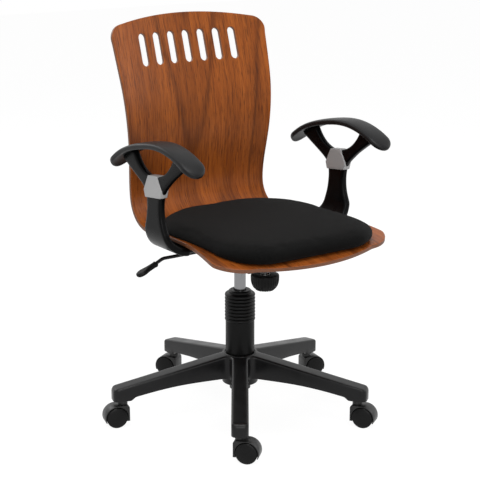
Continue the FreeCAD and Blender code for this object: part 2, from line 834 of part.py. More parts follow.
def make_seat_plate():
    half = seat_plate_half_width
    top = seat_plate_low_z + seat_plate_thick
    plate = block(-half, half, seat_plate_front_y, seat_plate_rear_y, seat_plate_low_z, top)
    corner_edges = [edge for edge in plate.Edges
                    if abs(edge.Vertexes[0].Point.z - edge.Vertexes[1].Point.z) > seat_plate_thick / 2]
    plate = plate.makeFillet(seat_plate_corner, corner_edges)
    ears = []
    for side in (-1, 1):
        inner = side * ear_inner_x()
        outer = side * (ear_inner_x() + ear_thick)
        low_x, high_x = min(inner, outer), max(inner, outer)
        ears.append(block(low_x, high_x, pivot_y - ear_half_length, pivot_y + ear_half_length,
                          pivot_z, seat_plate_low_z))
        rim = Part.makeCylinder(ear_half_length, ear_thick, Vector(low_x, pivot_y, pivot_z), x_axis)
        ears.append(rim)
    plate = joined([plate] + ears)
    low = seat_plate_low_z - overshoot
    high = top + overshoot
    cutters = [
        cross_hole(pivot_radius + bush_wall, pivot_y, pivot_z, far),
        cylinder(tension_bolt_radius + running_gap, low, high, 0, knob_y),
    ]
    cutters += [cylinder(bolt_radius + seat_gap, low, high, x, y) for x, y in seat_bolt_spots]
    return plate.cut(cutters)


def make_tension_bolt():
    plate_top = seat_plate_low_z + seat_plate_thick
    shank = cylinder(tension_bolt_radius, knob_low_z + knob_floor + overshoot, plate_top, 0, knob_y)
    head = cylinder(tension_head_radius, plate_top, plate_top + tension_head_height, 0, knob_y)
    return joined([shank, head])


def make_tension_knob():
    """Rounded cup that turns on the bolt and carries the spring."""
    arc_middle_r = knob_radius * knob_bulge[0]
    arc_middle_z = knob_low_z + (knob_straight_z - knob_low_z) * knob_bulge[1]
    bore = tension_bolt_radius + running_gap
    well = spring_radius + spring_wire / 2 + knob_well_gap
    rim = Vector(knob_radius - knob_rim_chamfer, 0, knob_top_z)
    side_high = Vector(knob_radius, 0, knob_top_z - knob_rim_chamfer)
    side_low = Vector(knob_radius - knob_taper, 0, knob_straight_z)
    nose = Vector(knob_nose_radius, 0, knob_low_z)
    hollow = [
        nose, Vector(0, 0, knob_low_z), Vector(0, 0, knob_low_z + knob_floor),
        Vector(bore, 0, knob_low_z + knob_floor), Vector(bore, 0, spring_seat_z),
        Vector(well, 0, spring_seat_z), Vector(well, 0, knob_top_z), rim,
    ]
    edges = [
        straight(rim, side_high),
        straight(side_high, side_low),
        Part.Arc(side_low, Vector(arc_middle_r, 0, arc_middle_z), nose).toShape(),
    ]
    edges += [straight(start, end) for start, end in zip(hollow[:-1], hollow[1:])]
    knob = Part.Face(Part.Wire(edges)).revolve(origin, z_axis, 360)
    knob.translate(Vector(0, knob_y, 0))
    return knob


def make_tension_spring():
    """Coil spring between the knob and the housing's floor, with its ends in a washer each."""
    low_end = spring_seat_z
    high_end = housing_floor_z - seat_gap
    low = low_end + spring_washer + spring_wire / 2
    high = high_end - spring_washer - spring_wire / 2
    helix = Part.makeHelix((high - low) / spring_turns, high - low, spring_radius)
    helix.translate(Vector(0, knob_y, low))
    start = Vector(spring_radius, knob_y, low)
    ring = Part.Wire([Part.makeCircle(spring_wire / 2, start, y_axis)])
    coil = Part.Wire(helix.Edges).makePipeShell([ring], True, True)
    outer = spring_radius + spring_wire / 2
    inner = tension_bolt_radius + spring_washer_gap
    lower = tube(outer, inner, low_end, low_end + spring_washer, 0, knob_y)
    upper = tube(outer, inner, high_end - spring_washer, high_end, 0, knob_y)
    return Part.makeCompound([coil, lower, upper])


# Height lever
def make_lever_rod():
    """Round rod with a bend, from over the release pin to inside the grip."""
    inner = Vector(lever_inner_x, 0, lever_z)
    bend = Vector(lever_bend_x, 0, lever_z)
    slope = Vector(lever_end_x - lever_grip_x, 0, lever_end_z - lever_grip_z)
    slope.normalize()
    end = Vector(lever_grip_x, 0, lever_grip_z) + slope * rod_in_grip
    first = Part.makeCylinder(lever_radius, (bend - inner).Length, inner, bend - inner)
    second = Part.makeCylinder(lever_radius, (end - bend).Length, bend, end - bend)
    return joined([first, second, Part.makeSphere(lever_radius, bend)])


def make_lever_grip():
    """Flat paddle with a round end and a narrow neck."""
    start = Vector(lever_grip_x, 0, lever_grip_z)
    end = Vector(lever_end_x, 0, lever_end_z)
    length = (end - start).Length
    middle = length - grip_half_width
    rounding = grip_half_width * math.sqrt(0.5)
    points = [Vector(0, -grip_neck, 0), Vector(length * grip_neck_share, -grip_neck, 0),
              Vector(middle, -grip_half_width, 0)]
    low_side = curve(points)
    tip = Part.Arc(points[-1], Vector(length, 0, 0), Vector(middle, grip_half_width, 0)).toShape()
    high_side = curve([Vector(p.x, -p.y, 0) for p in reversed(points)])
    back = straight(Vector(0, grip_neck, 0), Vector(0, -grip_neck, 0))
    paddle = prism([low_side, tip, high_side, back], Vector(0, 0, 2 * grip_half_height))
    paddle.translate(Vector(0, 0, -grip_half_height))
    turn = FreeCAD.Rotation(x_axis, end - start)
    paddle.Placement = FreeCAD.Placement(start, turn).multiply(paddle.Placement)
    return paddle.cut(make_lever_rod())


# Shell
def placed_sections():
    """Sections with their half widths, those of the back stretched to its height."""
    stretch = (back_top_z - fold_top_z) / (section_top_z - fold_top_z)
    placed = []
    for edge_y, edge_z, inset, centre_y, centre_z in shell_sections:
        if centre_z > fold_top_z:
            edge_z = fold_top_z + (edge_z - fold_top_z) * stretch
            centre_z = fold_top_z + (centre_z - fold_top_z) * stretch
        placed.append((edge_y, edge_z, shell_half_width - inset, centre_y, centre_z))
    return placed


def section_wire(section, tangent, top_offset, thick, widening):
    """Closed outline across the shell, between two depths below the sitting face."""
    edge_y, edge_z, half, centre_y, centre_z = section
    outward = Vector(0, tangent.z, -tangent.y)
    wide_half = half + widening

    def arc(depth):
        shift = outward * depth
        rise = (wide_half / half) ** 2
        side_y = centre_y + (edge_y - centre_y) * rise
        side_z = centre_z + (edge_z - centre_z) * rise
        left = Vector(-wide_half, side_y, side_z) + shift
        middle = Vector(0, centre_y, centre_z) + shift
        right = Vector(wide_half, side_y, side_z) + shift
        if abs(side_y - centre_y) + abs(side_z - centre_z) < flat_limit:
            return left, right, straight(left, right)
        return left, right, Part.Arc(left, middle, right).toShape()

    upper_left, upper_right, upper = arc(top_offset)
    lower_left, lower_right, lower = arc(top_offset + thick)
    lower.reverse()
    return Part.Wire([upper, straight(upper_right, lower_right), lower, straight(lower_left, upper_left)])


def shell_body(top_offset, thick, widening=0.0):
    """Loft along the bent shell, from the front lip to the top of the back."""
    sections = placed_sections()
    line = Part.BSplineCurve()
    line.interpolate([Vector(0, section[3], section[4]) for section in sections])
    wires = []
    for section in sections:
        parameter = line.parameter(Vector(0, section[3], section[4]))
        tangent = line.tangent(parameter)[0]
        wires.append(section_wire(section, tangent, top_offset, thick, widening))
    return Part.makeLoft(wires, True, False)


def corner_bulge(radius):
    """How far the middle of a quarter round lies from the sides of its corner."""
    return radius * (1 - math.sqrt(0.5))


def back_outline():
    """Front view outline of the back, with an arched top and round corners."""
    wide = shell_half_width + spare
    side = shell_half_width - back_top_inset
    corner_z = back_shoulder_z - back_corner_round
    step_z = corner_z - back_step
    bulge = corner_bulge(back_corner_round)
    arch_x = side - back_corner_round
    corners = [
        Vector(side, 0, corner_z), Vector(side, 0, step_z), Vector(wide, 0, step_z), Vector(wide, 0, 0),
        Vector(-wide, 0, 0), Vector(-wide, 0, step_z), Vector(-side, 0, step_z), Vector(-side, 0, corner_z),
    ]
    edges = [straight(start, end) for start, end in zip(corners[:-1], corners[1:])]
    edges += [
        Part.Arc(corners[-1], Vector(bulge - side, 0, back_shoulder_z - bulge),
                 Vector(-arch_x, 0, back_shoulder_z)).toShape(),
        Part.Arc(Vector(-arch_x, 0, back_shoulder_z), Vector(0, 0, back_top_z),
                 Vector(arch_x, 0, back_shoulder_z)).toShape(),
        Part.Arc(Vector(arch_x, 0, back_shoulder_z), Vector(side - bulge, 0, back_shoulder_z - bulge),
                 corners[0]).toShape(),
    ]
    outline = prism(edges, Vector(0, 2 * far, 0))
    outline.translate(Vector(0, -far, 0))
    return outline


def front_outline_cutter():
    """Plan outline of the seat's front edge, bowed, with large round corners."""
    side = shell_half_width + overshoot
    bulge = corner_bulge(front_corner_round)
    corner_y = front_corner_y + front_corner_round
    bow_x = side - front_corner_round
    left = Vector(-side, corner_y, 0)
    right = Vector(side, corner_y, 0)
    edges = [
        straight(Vector(-side, far, 0), left),
        Part.Arc(left, Vector(bulge - side, front_corner_y + bulge, 0),
                 Vector(-bow_x, front_corner_y, 0)).toShape(),
        Part.Arc(Vector(-bow_x, front_corner_y, 0), Vector(0, front_centre_y, 0),
                 Vector(bow_x, front_corner_y, 0)).toShape(),
        Part.Arc(Vector(bow_x, front_corner_y, 0), Vector(side - bulge, front_corner_y + bulge, 0),
                 right).toShape(),
        straight(right, Vector(side, far, 0)),
        straight(Vector(side, far, 0), Vector(-side, far, 0)),
    ]
    return prism(edges, Vector(0, 0, 2 * far))


def back_slot(x):
    """Cutter for one upright slot with round ends."""
    radius = slot_width / 2
    low = slot_low_z + radius
    high = slot_high_z - radius
    lower = Part.makeCylinder(radius, far, Vector(x, 0, low), y_axis)
    upper = Part.makeCylinder(radius, far, Vector(x, 0, high), y_axis)
    middle = block(x - radius, x + radius, 0, far, low, high)
    return joined([lower, upper, middle])


def slot_places():
    return [slot_pitch * (index - (slot_count - 1) / 2) for index in range(slot_count)]


def seat_hole(radius, x, y):
    """Cutter through the whole height of the seat."""
    return cylinder(radius, below_seat_z, above_cushion_z, x, y)


def make_plywood_shell():
    shell = shell_body(0, shell_thick).common(back_outline()).common(front_outline_cutter())
    cutters = [back_slot(x) for x in slot_places()]
    nut_hole = bolt_radius + nut_wall
    cutters += [seat_hole(nut_hole, x, y) for x, y in nut_spots()]
    cutters += [seat_hole(board_screw_radius, x, y) for x, y in board_screw_spots]
    return shell.cut(cutters)


def nut_spots():
    """Places where bolts pass through the shell."""
    spots = list(seat_bolt_spots)
    for side in (-1, 1):
        for y in arm_bolt_ys:
            spots.append((side * arm_bolt_x, y))
    return spots


# Heights of the shell, measured on the finished surface
def upright_probe(surface, x, y):
    """The part of an upright line through the seat that lies inside a shape."""
    line = straight(Vector(x, y, below_seat_z), Vector(x, y, above_cushion_z))
    return line.common(surface).BoundBox


def sitting_height(surface, x, y):
    """Highest point of a shape of the seat on an upright line."""
    return upright_probe(surface, x, y).ZMax


def hidden_height(surface, x, y):
    """Lowest point of a shape of the seat on an upright line."""
    return upright_probe(surface, x, y).ZMin


# Cushion
def rounded_outline(inset, z):
    """Plan outline of the cushion, drawn in by an inset."""
    half = cushion_half_width - inset
    front = cushion_front_y + inset
    rear = cushion_rear_y - inset
    front_round = min(cushion_front_round, half - overshoot)
    rear_round = min(cushion_rear_round, half - overshoot)
    front_bulge = corner_bulge(front_round)
    rear_bulge = corner_bulge(rear_round)
    right = [
        Vector(half - front_round, front, z), Vector(half - front_bulge, front + front_bulge, z),
        Vector(half, front + front_round, z), Vector(half, rear - rear_round, z),
        Vector(half - rear_bulge, rear - rear_bulge, z), Vector(half - rear_round, rear, z),
    ]
    left = [Vector(-spot.x, spot.y, spot.z) for spot in right]
    edges = [
        straight(left[0], right[0]),
        Part.Arc(right[0], right[1], right[2]).toShape(),
        straight(right[2], right[3]),
        Part.Arc(right[3], right[4], right[5]).toShape(),
        straight(right[5], left[5]),
        Part.Arc(left[5], left[4], left[3]).toShape(),
        straight(left[3], left[2]),
        Part.Arc(left[2], left[1], left[0]).toShape(),
    ]
    return Part.Wire(edges)


def cushion_slab(inset):
    """Upright slab with the cushion's outline drawn in, across the seat's height."""
    return Part.Face(rounded_outline(inset, below_seat_z)).extrude(z_axis * (above_cushion_z - below_seat_z))


def make_cushion_board():
    """Thin board that follows the seat, inside the cushion's underside."""
    board = shell_body(-seat_gap - board_thick, board_thick, spare).common(cushion_slab(board_inset))
    cutters = [seat_hole(nut_flange_radius + overshoot, x, y) for x, y in nut_spots()]
    for x, y in board_screw_spots:
        tip_z = hidden_height(board, x, y) + board_thick - board_screw_cover
        cutters.append(cylinder(board_screw_radius, below_seat_z, tip_z, x, y))
    return board.cut(cutters)


def make_seat_cushion():
    """Crowned pad that stands on the seat, hollowed underneath for the board."""
    wires = []
    for share, inset in cushion_levels:
        wires.append(rounded_outline(inset, seat_centre_z + share * cushion_height))
    crown = Part.makeLoft(wires, True, True)
    below = shell_body(-soft_gap, cushion_depth_cut, spare)
    room = shell_body(-seat_gap - board_thick - soft_gap, cushion_depth_cut, spare)
    room = room.common(cushion_slab(board_inset - soft_gap))
    pad = crown.cut([below, room])
    return max(pad.Solids, key=lambda solid: solid.Volume)


def make_board_screws(shell):
    screws = []
    for x, y in board_screw_spots:
        low = hidden_height(shell, x, y + board_screw_head)
        low = min(low, hidden_height(shell, x, y - board_screw_head)) - seat_gap
        tip_z = low + shell_thick + board_thick - board_screw_cover
        shank = cylinder(board_screw_radius, low, tip_z, x, y)
        head = cylinder(board_screw_head, low - board_screw_head_height, low, x, y)
        screws.append(joined([shank, head]))
    return Part.makeCompound(screws)


# Fasteners
def make_t_nuts(shell):
    """Flanged nuts let into the seat from above."""
    nuts = []
    for x, y in nut_spots():
        reach = nut_flange_radius
        top = max(sitting_height(shell, x + dx, y + dy) for dx, dy in
                  ((reach, 0), (-reach, 0), (0, reach), (0, -reach)))
        barrel = cylinder(bolt_radius + nut_wall, top - shell_thick + nut_cover, top, x, y)
        flange = cylinder(nut_flange_radius, top, top + nut_flange_thick, x, y)
        bore = cylinder(bolt_radius, top - shell_thick, top + nut_flange_thick + overshoot, x, y)
        nuts.append(joined([barrel, flange]).cut(bore))
    return Part.makeCompound(nuts)


def bolt(x, y, head_face_z, end_z):
    """Hex bolt from below, with its head under the given height."""
    corners = []
    for index in range(bolt_sides):
        angle = math.radians(360.0 / bolt_sides * index)
        corners.append(Vector(x + bolt_head_radius * math.cos(angle), y + bolt_head_radius * math.sin(angle),
                              head_face_z - bolt_head_height))
    head = polygon_prism(corners, Vector(0, 0, bolt_head_height))
    return joined([head, cylinder(bolt_radius, head_face_z, end_z, x, y)])


def make_mechanism_bolts(shell):
    bolts = []
    for x, y in seat_bolt_spots:
        end = sitting_height(shell, x + nut_flange_radius, y)
        bolts.append(bolt(x, y, seat_plate_low_z, end))
    return Part.makeCompound(bolts)


def make_arm_bolts(shell):
    bolts = []
    for side in (-1, 1):
        for y in arm_bolt_ys:
            end = sitting_height(shell, side * (arm_bolt_x + nut_flange_radius), y)
            bolts.append(bolt(side * arm_bolt_x, y, arm_leg_low_z + bolt_recess, end))
    return Part.makeCompound(bolts)


def make_spacer_pads(shell):
    """Pads between the flat seat plate and the curved underside of the shell."""
    plate_top = seat_plate_low_z + seat_plate_thick
    pads = []
    for x, y in seat_bolt_spots:
        bore = bolt_radius + nut_wall + seat_gap
        pad = tube(spacer_radius, bore, plate_top, plate_top + spacer_reach, x, y)
        pads.append(min(pad.cut(shell).Solids, key=lambda solid: solid.BoundBox.ZMin))
    return Part.makeCompound(pads)


# Armrests, made on the sitter's right, on the -X side
def side_points(pairs, x):
    return [Vector(x, y, z) for y, z in pairs]


def pad_edges(x):
    """Top line of the pad and the same line one thickness lower."""
    top_line = Part.BSplineCurve()
    top_line.interpolate(side_points(pad_line, x))
    lower = []
    for y, z in pad_line:
        spot = Vector(x, y, z)
        tangent = top_line.tangent(top_line.parameter(spot))[0]
        down = Vector(0, tangent.z, -tangent.y)
        if down.z > 0:
            down = down * -1
        lower.append(spot + down * pad_thick)
    return side_points(pad_line, x), lower


def make_arm_pad():
    centre_x = -arm_outer_x + arm_thick / 2
    low_x = centre_x - pad_half_width
    top, lower = pad_edges(low_x)
    lower.reverse()
    edges = [curve(top), straight(top[-1], lower[0]), curve(lower), straight(lower[-1], top[0])]
    pad = prism(edges, Vector(2 * pad_half_width, 0, 0))
    radius = pad_half_width
    front = pad_line[-1][0] + radius
    rear = pad_line[0][0] - radius - pad_rear_trim
    plan = joined([
        cylinder(radius, below_pad_z, above_pad_z, centre_x, front),
        cylinder(radius, below_pad_z, above_pad_z, centre_x, rear),
        block(low_x, low_x + 2 * radius, front, rear, below_pad_z, above_pad_z),
    ])
    return pad.common(plan)


def arm_side_outline():
    """Post and two struts seen from the side, up to the pad's underside."""
    low_x = -arm_outer_x - overshoot
    lower = pad_edges(low_x)[1]
    travel = Vector(spare + arm_outer_x, 0, 0)

    def upright_to(spot, height):
        return straight(spot, Vector(spot.x, spot.y, height))

    def closed_above(points, height):
        ends = [points[0], points[-1]]
        roof = straight(Vector(low_x, ends[0].y, height), Vector(low_x, ends[1].y, height))
        return prism([curve(points), upright_to(ends[0], height), upright_to(ends[1], height), roof], travel)

    rear = side_points(rear_outline, low_x)
    front = side_points(front_outline, low_x)
    post = prism([
        curve(rear), upright_to(rear[-1], above_pad_z), upright_to(front[0], above_pad_z), curve(front),
        straight(Vector(low_x, rear[-1].y, above_pad_z), Vector(low_x, front[0].y, above_pad_z)),
        straight(front[-1], rear[0]),
    ], travel)
    hole = closed_above(side_points(hole_low_line, low_x), above_pad_z)
    return post.cut([closed_above(lower, above_pad_z + spare), hole])


def arm_front_outline():
    """Leg, elbow and upright seen from the front."""
    outer = -arm_outer_x
    inner = outer + arm_thick
    low = arm_leg_low_z
    upper = low + arm_thick
    end = -arm_leg_end_x
    inner_radius = elbow_radius - arm_thick
    bulge = corner_bulge(elbow_radius)
    inner_bulge = corner_bulge(inner_radius)
    outer_arc = [Vector(outer + elbow_radius, 0, low), Vector(outer + bulge, 0, low + bulge),
                 Vector(outer, 0, low + elbow_radius)]
    inner_arc = [Vector(inner, 0, upper + inner_radius), Vector(inner + inner_bulge, 0, upper + inner_bulge),
                 Vector(inner + inner_radius, 0, upper)]
    top = [outer_arc[2], Vector(outer, 0, above_pad_z), Vector(inner, 0, above_pad_z), inner_arc[0]]
    leg = [inner_arc[2], Vector(-arm_leg_knee_x, 0, upper), Vector(end, 0, arm_leg_end_z),
           Vector(end, 0, low), outer_arc[0]]
    edges = [Part.Arc(*outer_arc).toShape(), Part.Arc(*inner_arc).toShape()]
    for corners in (top, leg):
        edges += [straight(start, finish) for start, finish in zip(corners[:-1], corners[1:])]
    outline = prism(edges, Vector(0, far, 0))
    outline.translate(Vector(0, -far / 2, 0))
    return outline


def arm_plan_outline():
    """Leg seen from above, narrower towards its inner end."""
    root_x = -arm_outer_x + arm_thick + arm_leg_root_room
    end_x = -arm_leg_end_x + overshoot
    knee_x = -arm_leg_knee_x
    corners = [
        (-far, -far), (root_x, -far), (root_x, arm_leg_root_ys[0]), (knee_x, arm_leg_knee_ys[0]),
        (end_x, arm_leg_end_ys[0]), (end_x, arm_leg_end_ys[1]), (knee_x, arm_leg_knee_ys[1]),
        (root_x, arm_leg_root_ys[1]), (root_x, far), (-far, far),
    ]
    return polygon_prism([Vector(x, y, below_seat_z) for x, y in corners], z_axis * far)


def make_arm_frame():
    frame = arm_side_outline().common(arm_front_outline()).common(arm_plan_outline())
    above = shell_body(-2 * spare, 2 * spare + shell_thick + seat_gap, overshoot)
    frame = max(frame.cut(above).Solids, key=lambda solid: solid.Volume)
    head_top = arm_leg_low_z + bolt_recess
    cutters = []
    for y in arm_bolt_ys:
        cutters.append(seat_hole(bolt_radius + seat_gap, -arm_bolt_x, y))
        cutters.append(cylinder(bolt_head_radius + overshoot, below_seat_z, head_top, -arm_bolt_x, y))
    return frame.cut(cutters)


def make_arm_collar(frame):
    """Bright trim round the post, with a shield on each face up to the hole, its front leaning up."""
    centre_x = -arm_outer_x + arm_thick / 2
    reach = arm_thick / 2 + collar_wall
    mid = collar_middle_y
    side = [
        (collar_top_half, collar_top_z), (collar_band_half, collar_band_z), (collar_foot_half, collar_low_z),
    ]
    rise = math.tan(math.radians(collar_lean))
    corners = [(mid + half, z - rise * half) for half, z in side]
    corners += [(mid - half, z + rise * half) for half, z in reversed(side)]
    return plate_between(corners, centre_x - reach, centre_x + reach).cut(frame)


def main():
    os.makedirs("parts", exist_ok=True)
    shell = make_plywood_shell()
    arm_frame = make_arm_frame()
    arm_collar = make_arm_collar(arm_frame)
    arm_pad = make_arm_pad()
    save("star_base", make_star_base())
    save("stem_sockets", make_stem_sockets())
    save("column_tube", make_column_tube())
    save("column_sleeve", make_column_sleeve())
    save("bellows", make_bellows())
    save("guide_bushing", make_guide_bushing())
    save("piston_rod", make_piston_rod())
    save("thrust_bearing", make_thrust_bearing())
    save("retaining_clip", make_retaining_clip())
    save("gas_cylinder", make_gas_cylinder())
    save("release_pin", make_release_pin())
    save("mechanism_housing", make_mechanism_housing())
    save("pivot_pin", make_pivot_pin())
    save("pivot_bushes", make_pivot_bushes())
    save("seat_plate", make_seat_plate())
    save("tension_bolt", make_tension_bolt())
    save("tension_knob", make_tension_knob())
    save("tension_spring", make_tension_spring())
    save("lever_rod", make_lever_rod())
    save("lever_grip", make_lever_grip())
    save("plywood_shell", shell)
    save("seat_cushion", make_seat_cushion())
    save("cushion_board", make_cushion_board())
    save("board_screws", make_board_screws(shell))
    save("t_nuts", make_t_nuts(shell))
    save("mechanism_bolts", make_mechanism_bolts(shell))
    save("arm_bolts", make_arm_bolts(shell))
    save("spacer_pads", make_spacer_pads(shell))
    save("arm_right_frame", arm_frame)
    save("arm_right_collar", arm_collar)
    save("arm_right_pad", arm_pad)
    save("arm_left_frame", mirrored(arm_frame))
    save("arm_left_collar", mirrored(arm_collar))
    save("arm_left_pad", mirrored(arm_pad))
    save_casters()


main()
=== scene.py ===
"""Swivel chair with a bent plywood shell, a black pad, T armrests and a five-arm base."""

import json
import logging
import math
from dataclasses import dataclass
from enum import Enum
from typing import Callable, Optional, Sequence

import bmesh
import bpy
import numpy as np
from mathutils import Matrix, Vector, geometry

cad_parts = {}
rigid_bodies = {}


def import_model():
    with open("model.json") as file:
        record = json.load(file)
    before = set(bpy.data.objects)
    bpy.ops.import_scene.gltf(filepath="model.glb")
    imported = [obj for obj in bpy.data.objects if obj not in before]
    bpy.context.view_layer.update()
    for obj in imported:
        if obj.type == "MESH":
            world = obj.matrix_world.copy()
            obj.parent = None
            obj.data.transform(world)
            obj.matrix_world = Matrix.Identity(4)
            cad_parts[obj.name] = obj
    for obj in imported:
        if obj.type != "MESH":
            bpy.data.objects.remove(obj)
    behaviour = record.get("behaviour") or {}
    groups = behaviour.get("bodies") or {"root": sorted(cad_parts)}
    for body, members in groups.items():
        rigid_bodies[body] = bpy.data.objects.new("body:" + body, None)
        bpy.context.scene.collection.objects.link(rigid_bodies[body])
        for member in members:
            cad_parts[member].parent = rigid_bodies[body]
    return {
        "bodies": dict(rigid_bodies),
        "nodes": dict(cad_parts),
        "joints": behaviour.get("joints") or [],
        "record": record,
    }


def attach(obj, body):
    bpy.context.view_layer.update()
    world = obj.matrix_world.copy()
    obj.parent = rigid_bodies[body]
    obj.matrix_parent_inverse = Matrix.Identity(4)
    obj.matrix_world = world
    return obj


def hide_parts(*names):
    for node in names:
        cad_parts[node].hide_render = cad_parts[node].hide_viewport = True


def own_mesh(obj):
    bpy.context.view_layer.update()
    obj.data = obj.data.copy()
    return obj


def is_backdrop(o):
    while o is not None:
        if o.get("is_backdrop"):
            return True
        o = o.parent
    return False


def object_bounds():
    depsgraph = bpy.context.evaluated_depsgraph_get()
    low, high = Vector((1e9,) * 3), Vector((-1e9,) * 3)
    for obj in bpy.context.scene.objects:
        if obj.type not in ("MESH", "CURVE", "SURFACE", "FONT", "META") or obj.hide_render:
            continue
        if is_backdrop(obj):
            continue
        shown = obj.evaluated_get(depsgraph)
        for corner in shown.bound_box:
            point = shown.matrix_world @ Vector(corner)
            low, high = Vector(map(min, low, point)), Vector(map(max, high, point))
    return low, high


LOG = logging.getLogger("chair")
MM = 0.001
SHARP_DEGREES = 40.0  # an edge that turns by more than this shows
HALVINGS = 40
CLEAR_SHARE = 0.55  # inner points keep this share of the spacing off an outline
TINY = 1e-7  # a smaller length counts as none
BAR_END = (0.25, 0.6, 0.85)  # rings of a bar's rounded end, as shares of its full area
QUARTER_ROUND = ((0.0, 1.0), (0.134, 0.5), (0.5, 0.134), (1.0, 0.0))  # drops and insets of a rounded edge
Array = np.ndarray
Pairs = Sequence[tuple[float, float]]
Colour = tuple[float, float, float]


class Axis(Enum):
    """Axes that a spun piece can stand on."""

    UPRIGHT = "z"
    ALONG = "y"


@dataclass(frozen=True)
class Level:
    """One ring round a plate: inset from its outline, share of the way down its wall, and drop below that."""

    inset: float
    share: float
    drop: float = 0.0


Place = Callable[[Array, Array, Level], Array]


# Lines and outlines


class SmoothLine:
    """Smooth curve through points, read by the distance run along its first columns."""

    def __init__(self, rows: Sequence[Sequence[float]], knots: Optional[Array] = None) -> None:
        """Fit the curve.

        Args:
            rows: one row of numbers for each point.
            knots: running parameter of each row, or None for the chord length.
        """
        self.rows = np.array(rows, dtype=float)
        if knots is None:
            steps = np.linalg.norm(np.diff(self.rows, axis=0), axis=1)
            knots = np.concatenate([[0.0], np.cumsum(steps)])
        self.knots = np.array(knots, dtype=float)
        self.bend = self._bends()

    def _bends(self) -> Array:
        """Second derivatives at the knots, nought at both ends."""
        count = len(self.knots)
        step = np.diff(self.knots)
        matrix = np.eye(count)
        right = np.zeros_like(self.rows)
        for i in range(1, count - 1):
            matrix[i, i - 1] = step[i - 1]
            matrix[i, i] = 2 * (step[i - 1] + step[i])
            matrix[i, i + 1] = step[i]
            after = (self.rows[i + 1] - self.rows[i]) / step[i]
            before = (self.rows[i] - self.rows[i - 1]) / step[i - 1]
            right[i] = 6 * (after - before)
        return np.linalg.solve(matrix, right)

    def at(self, where: Array, slope: bool = False) -> Array:
        """Rows, or their slopes, at an array of parameters."""
        spot = np.asarray(where, dtype=float)
        i = np.clip(np.searchsorted(self.knots, spot) - 1, 0, len(self.knots) - 2)
        wide = (self.knots[i + 1] - self.knots[i])[..., None]
        a = (self.knots[i + 1] - spot)[..., None] / wide
        b = 1 - a
        low, high = self.rows[i], self.rows[i + 1]
        low_bend, high_bend = self.bend[i], self.bend[i + 1]
        if slope:
            bow = ((3 * b * b - 1) * high_bend - (3 * a * a - 1) * low_bend) * wide / 6
            return (high - low) / wide + bow
        bow = ((a ** 3 - a) * low_bend + (b ** 3 - b) * high_bend) * wide ** 2 / 6
        return a * low + b * high + bow


def solve(rule: Callable[[Array], Array], target: Array, low: float, high: float) -> Array:
    """Where a rising rule meets its targets, by halving.

    Args:
        rule: function of an array of parameters.
        target: values to reach.
        low: start of the range.
        high: end of the range.

    Returns:
        The parameters.
    """
    under = np.full_like(target, low)
    over = np.full_like(target, high)
    for _ in range(HALVINGS):
        middle = (under + over) / 2
        short = rule(middle) < target
        under = np.where(short, middle, under)
        over = np.where(short, over, middle)
    return (under + over) / 2


def rounded(corners: Sequence[Sequence[float]], steps: int = 6, closed: bool = True) -> Array:
    """Outline with its corners rounded.

    Args:
        corners: rows of (u, v, radius).
        steps: parts that each round is divided in.
        closed: False keeps both ends as they are.

    Returns:
        Points of the outline.
    """
    points: list[Array] = []
    count = len(corners)
    for i, (u, v, radius) in enumerate(corners):
        spot = np.array([u, v], dtype=float)
        if radius <= 0 or (not closed and i in (0, count - 1)):
            points.append(spot)
            continue
        before = np.array(corners[i - 1][:2], dtype=float) - spot
        after = np.array(corners[(i + 1) % count][:2], dtype=float) - spot
        before /= np.linalg.norm(before)
        after /= np.linalg.norm(after)
        half = math.acos(max(-1.0, min(1.0, float(before @ after)))) / 2
        if math.pi / 2 - half < 1e-4:
            points.append(spot)
            continue
        reach = radius / math.tan(half)
        centre = spot + (before + after) / np.linalg.norm(before + after) * radius / math.sin(half)
        start = spot + before * reach - centre
        finish = spot + after * reach - centre
        turn = math.atan2(start[0] * finish[1] - start[1] * finish[0], float(start @ finish))
        for step in range(steps + 1):
            angle = turn * step / steps
            cos, sin = math.cos(angle), math.sin(angle)
            turned = (start[0] * cos - start[1] * sin, start[0] * sin + start[1] * cos)
            points.append(centre + np.array(turned))
    return np.array(points)


def even(points: Array, spacing: float, closed: bool = True) -> Array:
    """The same line with points at even steps."""
    loop = np.vstack([points, points[:1]]) if closed else points
    run = np.concatenate([[0.0], np.cumsum(np.linalg.norm(np.diff(loop, axis=0), axis=1))])
    count = max(4, int(round(run[-1] / spacing)))
    marks = np.linspace(0, run[-1], count + 1)
    if closed:
        marks = marks[:-1]
    return np.stack([np.interp(marks, run, loop[:, k]) for k in range(loop.shape[1])], axis=1)


def softened(points: Array, passes: int) -> Array:
    """Closed line with its kinks eased."""
    for _ in range(passes):
        points = 0.25 * np.roll(points, 1, axis=0) + 0.5 * points + 0.25 * np.roll(points, -1, axis=0)
    return points


def circle(radius: float, count: int, centre: tuple[float, float] = (0.0, 0.0)) -> Array:
    """Points round a circle, against the clock."""
    angles = np.linspace(0, 2 * math.pi, count, endpoint=False)
    return np.stack([centre[0] + radius * np.cos(angles), centre[1] + radius * np.sin(angles)], axis=1)


def signed_area(points: Array) -> float:
    """Area of a flat loop, positive against the clock."""
    after = np.roll(points, -1, axis=0)
    return float((points[:, 0] * after[:, 1] - after[:, 0] * points[:, 1]).sum() / 2)


def inside(spots: Array, loops: Sequence[Array]) -> Array:
    """True for each spot that an odd number of the loops' sides shows to be within."""
    result = np.zeros(len(spots), dtype=bool)
    for loop in loops:
        after = np.roll(loop, -1, axis=0)
        for (u0, v0), (u1, v1) in zip(loop, after):
            if v0 == v1:
                continue
            crosses = (v0 > spots[:, 1]) != (v1 > spots[:, 1])
            result ^= crosses & (spots[:, 0] < (u1 - u0) * (spots[:, 1] - v0) / (v1 - v0) + u0)
    return result


